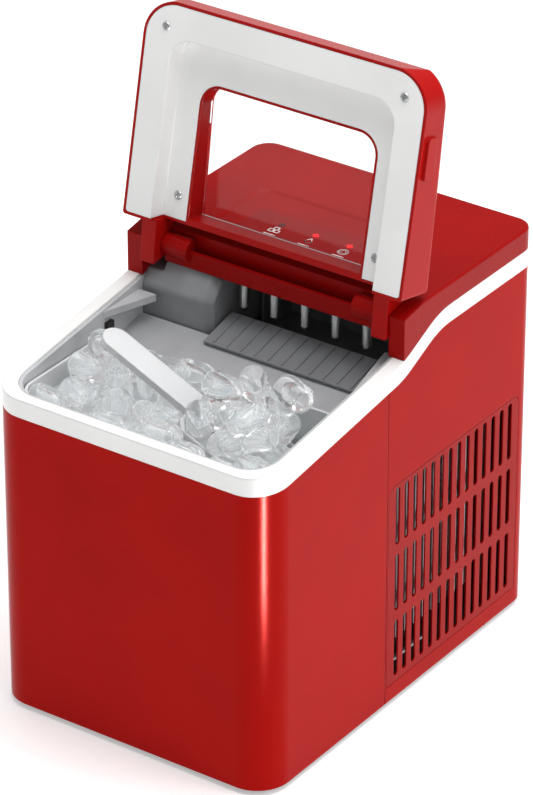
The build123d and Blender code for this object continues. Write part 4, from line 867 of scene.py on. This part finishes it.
# Clear polystyrene: water-clear, with faint rubbed patches.
pane, tree = blank_material("clear_polystyrene")
coords = node(tree, "ShaderNodeTexCoord")
scuff = node(
    tree,
    "ShaderNodeTexNoise",
    {"Vector": coords.outputs["Object"], "Scale": 55.0, "Detail": 4.0},
)
scuff_rough = node(
    tree, "ShaderNodeMapRange", {"Value": scuff.outputs["Fac"], "To Min": 0.0, "To Max": 0.035}
)
pane_tone = node(tree, "ShaderNodeValToRGB", {"Fac": scuff.outputs["Fac"]})
pane_tone.color_ramp.elements[0].color = linear("#F2F3F3")
pane_tone.color_ramp.elements[1].color = linear("#F7F8F8")
skin = node(
    tree,
    "ShaderNodeBsdfPrincipled",
    {
        "Base Color": pane_tone.outputs["Color"],
        "Roughness": scuff_rough.outputs["Result"],
        "Transmission Weight": 1.0,
        "IOR": 1.25,
    },
)
node(tree, "ShaderNodeOutputMaterial", {"Surface": skin.outputs["BSDF"]})
finish(pane, "lid_window")

hinge = Vector((0, 0.0095, 0.2817))
lean = math.radians(12)
lid_along = Vector((0, math.sin(lean), math.cos(lean)))
lid_out = Vector((0, -math.cos(lean), math.sin(lean)))
hinge_to_edge = 0.0182
hinge_to_face = 0.021
lid_corner = hinge + lid_along * hinge_to_edge + lid_out * hinge_to_face
recess_depth = 0.015


def on_lid(x, s, d):
    """A place on the lid: x across, s up from the hinge end, d behind the liner's face."""
    return Vector((x, 0, 0)) + lid_corner + lid_along * s - lid_out * d


screw_radius = 0.0032
head_sides = 24


def cross_head(radius, height):
    """A pan-head screw with a cross recess, its rim at z 0 and its top towards +Z."""
    shape = bmesh.new()
    arm, depth = 0.55 * radius, 0.45 * height
    half = 0.13 * radius
    rings = []
    for share, z in (
        (1.0, 0.0),
        (1.0, 0.35 * height),
        (0.86, 0.75 * height),
        (0.66, 0.95 * height),
    ):
        ring = []
        for k in range(head_sides):
            a = 2 * math.pi * k / head_sides
            ring.append(
                shape.verts.new((share * radius * math.cos(a), share * radius * math.sin(a), z))
            )
        rings.append(ring)
    for low, high in zip(rings, rings[1:]):
        for k in range(head_sides):
            after = (k + 1) % head_sides
            shape.faces.new((low[k], low[after], high[after], high[k]))
    shape.faces.new(rings[0][::-1])
    outline = []
    for quarter in range(4):
        turn = Matrix.Rotation(math.pi / 2 * quarter, 3, "Z")
        for x, y in ((half, half), (arm, half), (arm, -half)):
            outline.append(turn @ Vector((x, y, 0)))
    ordered = sorted(outline, key=lambda p: math.atan2(p.y, p.x))
    top = [shape.verts.new((p.x, p.y, height)) for p in ordered]
    floor = [shape.verts.new((p.x * 0.8, p.y * 0.8, height - depth)) for p in ordered]
    count = len(top)
    for k in range(count):
        shape.faces.new((top[k], floor[k], floor[(k + 1) % count], top[(k + 1) % count]))
    shape.faces.new(floor)
    rim_edges = [e for e in shape.edges if e.is_boundary]
    bmesh.ops.bridge_loops(shape, edges=rim_edges)
    bmesh.ops.recalc_face_normals(shape, faces=shape.faces)
    mesh = bpy.data.meshes.new("cross_head")
    shape.to_mesh(mesh)
    shape.free()
    return mesh


# Zinc plate: pale grey metal with small soft clouds.
zinc = moulded(
    "zinc_plate", "#A9AAAC", "#C2C3C5", 0.28, 0.4, 0.006, edge_mm=0.2, cloud_mm=3.0, Metallic=1.0
)
head_height = 0.0016
head_sunk = 0.0004
lid_turn = lid_out.to_track_quat("Z", "Y").to_euler()
lid_screws = placed_copies(
    "lid_screw_heads",
    cross_head(screw_radius, head_height),
    [on_lid(x, 0.133, head_sunk) for x in (-0.0934, 0.0934)]
    + [on_lid(x, 0.0184, recess_depth + head_sunk) for x in (-0.0786, 0.0786)],
    [tuple(lid_turn)] * 4,
    "lid",
    zinc,
)
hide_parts("lid_screws")

# ---- Compartment --------------------------------------------------------------------------
# The cooling parts behind the grilles: an aluminium-finned condenser, copper tube, a black
# fan, a black enamelled compressor, and the small water pump.


def metal(name, dark, light, rough, grain_mm, stretch):
    """Drawn or rolled metal, its fine marks stretched along one axis."""
    material, tree = blank_material(name)
    coords = node(tree, "ShaderNodeTexCoord")
    turned = node(tree, "ShaderNodeMapping", {"Vector": coords.outputs["Object"], "Scale": stretch})
    marks = node(
        tree, "ShaderNodeTexNoise", {"Vector": turned.outputs["Vector"], "Scale": 1000 / grain_mm}
    )
    tone = node(tree, "ShaderNodeValToRGB", {"Fac": marks.outputs["Fac"]})
    tone.color_ramp.elements[0].color = linear(dark)
    tone.color_ramp.elements[1].color = linear(light)
    gloss = node(
        tree,
        "ShaderNodeMapRange",
        {"Value": marks.outputs["Fac"], "To Min": rough - 0.08, "To Max": rough + 0.1},
    )
    bump = node(tree, "ShaderNodeBump", {"Height": marks.outputs["Fac"], "Distance": 0.00003})
    skin = node(
        tree,
        "ShaderNodeBsdfPrincipled",
        {
            "Base Color": tone.outputs["Color"],
            "Metallic": 1.0,
            "Roughness": gloss.outputs["Result"],
            "Normal": bump.outputs["Normal"],
        },
    )
    node(tree, "ShaderNodeOutputMaterial", {"Surface": skin.outputs["BSDF"]})
    return material


# Rolled aluminium: bright, with marks along the fins.
aluminium = metal("rolled_aluminium", "#C6C8CA", "#E2E3E4", 0.30, 1.5, (1, 1, 0.1))
finish(aluminium, "condenser_fins")
# Drawn copper: warm, and slightly dulled by handling.
copper = metal("drawn_copper", "#B06A46", "#C98560", 0.28, 1.2, (1, 1, 1))
finish(
    copper,
    "condenser_tube",
    "filter_drier",
    "discharge_tube",
    "drier_tube",
    "liquid_tube",
    "suction_tube",
)
# Zinc-plated steel for motors and brackets, and thick black enamel on the compressor.
plated = metal("zinc_plated_steel", "#8F9194", "#B4B6B8", 0.32, 1.0, (1, 0.2, 1))
finish(plated, "fan_motor", "fan_bracket", "tray_motor", "compressor_bolts")
enamel = moulded(
    "black_enamel", "#0A0A0B", "#131314", 0.32, 1.8, 0.01, edge_mm=1.0, Coat_Weight=0.4
)
finish(enamel, "compressor")
# Dull black polypropylene, soft black rubber, milky silicone and white acetal.
fan_plastic = moulded("black_polypropylene", "#0E0E0F", "#171718", 0.45, 0.8, 0.015)
finish(fan_plastic, "fan_shroud", "fan_blade", "water_pump", "ice_sensors")
soft_rubber = moulded("grommet_rubber", "#101010", "#191919", 0.75, 0.7, 0.02)
finish(soft_rubber, "compressor_grommets")
clear_hose = moulded(
    "silicone_hose", "#D6D6D1", "#E2E2DE", 0.35, 1.5, 0.01, Transmission_Weight=0.4
)
finish(clear_hose, "water_hose")
white_acetal = moulded("white_acetal", "#E4E4E0", "#EFEFEB", 0.35, 1.0, 0.008)
finish(white_acetal, "pump_impeller", "drive_coupling", "water_level_sensor", "drain_spout")

# ---- Air baffle ---------------------------------------------------------------------------
# A bent sheet-steel plate, black enamelled, that stands in the back right corner of the base.
# It keeps warm air from running back round the end of the condenser.
baffle_x = 0.090
baffle_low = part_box("base_pan")[1].z + 0.0005
baffle_top = 0.184
baffle_half = 0.0005
baffle_plan = [(baffle_x + 0.011, 0.113), (baffle_x, 0.124), (baffle_x, 0.152)]
shape = bmesh.new()
edges = []
for offset in (-baffle_half, baffle_half):
    for z in (baffle_low, baffle_top):
        edges.append([shape.verts.new((x + offset, y, z)) for x, y in baffle_plan])
left_low, left_high, right_low, right_high = edges
skins = (
    (left_low, left_high),
    (right_high, right_low),
    (left_high, right_high),
    (right_low, left_low),
)
for near, far in skins:
    for k in range(len(baffle_plan) - 1):
        shape.faces.new((near[k], near[k + 1], far[k + 1], far[k]))
for k in (0, -1):
    shape.faces.new((left_low[k], left_high[k], right_high[k], right_low[k]))
bmesh.ops.recalc_face_normals(shape, faces=shape.faces)
baffle_mesh = bpy.data.meshes.new("air_baffle")
shape.to_mesh(baffle_mesh)
shape.free()
new_piece("air_baffle", baffle_mesh, "frame", enamel)

# ---- Circuit boards -----------------------------------------------------------------------
# The control board under the panel and the power board in the back compartment, both fixed
# on posts: glass-epoxy under green solder mask, with traces drawn coarse enough to show.
board, tree = blank_material("green_solder_mask")
coords = node(tree, "ShaderNodeTexCoord")
traces = node(
    tree,
    "ShaderNodeTexBrick",
    {
        "Vector": coords.outputs["Object"],
        "Scale": 160.0,
        "Color1": linear("#0E5A2C"),
        "Color2": linear("#0C4C26"),
        "Mortar": linear("#2E7A48"),
        "Mortar Size": 0.05,
    },
)
skin = node(
    tree, "ShaderNodeBsdfPrincipled", {"Base Color": traces.outputs["Color"], "Roughness": 0.35}
)
node(tree, "ShaderNodeOutputMaterial", {"Surface": skin.outputs["BSDF"]})
finish(board, "control_board", "power_board")

# ---- Drain plug and back screws -----------------------------------------------------------
# A red rubber plug pushed into the drain in the left side, and six blackened steel screws
# that hold the back panel.
# Moulded rubber is dull, and blackened steel is dark with a low shine.
plug_rubber = moulded("red_rubber", "#7E1212", "#8C1515", 0.6, 0.9, 0.02, edge_mm=0.8)
finish(plug_rubber, "drain_plug")

back_face = cad_box[1].y
screw_low, screw_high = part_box("casing_screws")
middle_screw_z = 0.093
back_head_height = 0.0014
blackened = moulded(
    "blackened_steel", "#1A1A1C", "#26262A", 0.35, 0.4, 0.006, edge_mm=0.2, Metallic=0.8
)
casing_heads = placed_copies(
    "casing_screw_heads",
    cross_head(screw_radius, back_head_height),
    [
        (x, back_face - back_head_height, z)
        for x in (screw_low.x + screw_radius, screw_high.x - screw_radius)
        for z in (screw_low.z + screw_radius, middle_screw_z, screw_high.z - screw_radius)
    ],
    [(-math.pi / 2, 0, 0)] * 6,
    "frame",
    blackened,
)
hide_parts("casing_screws")
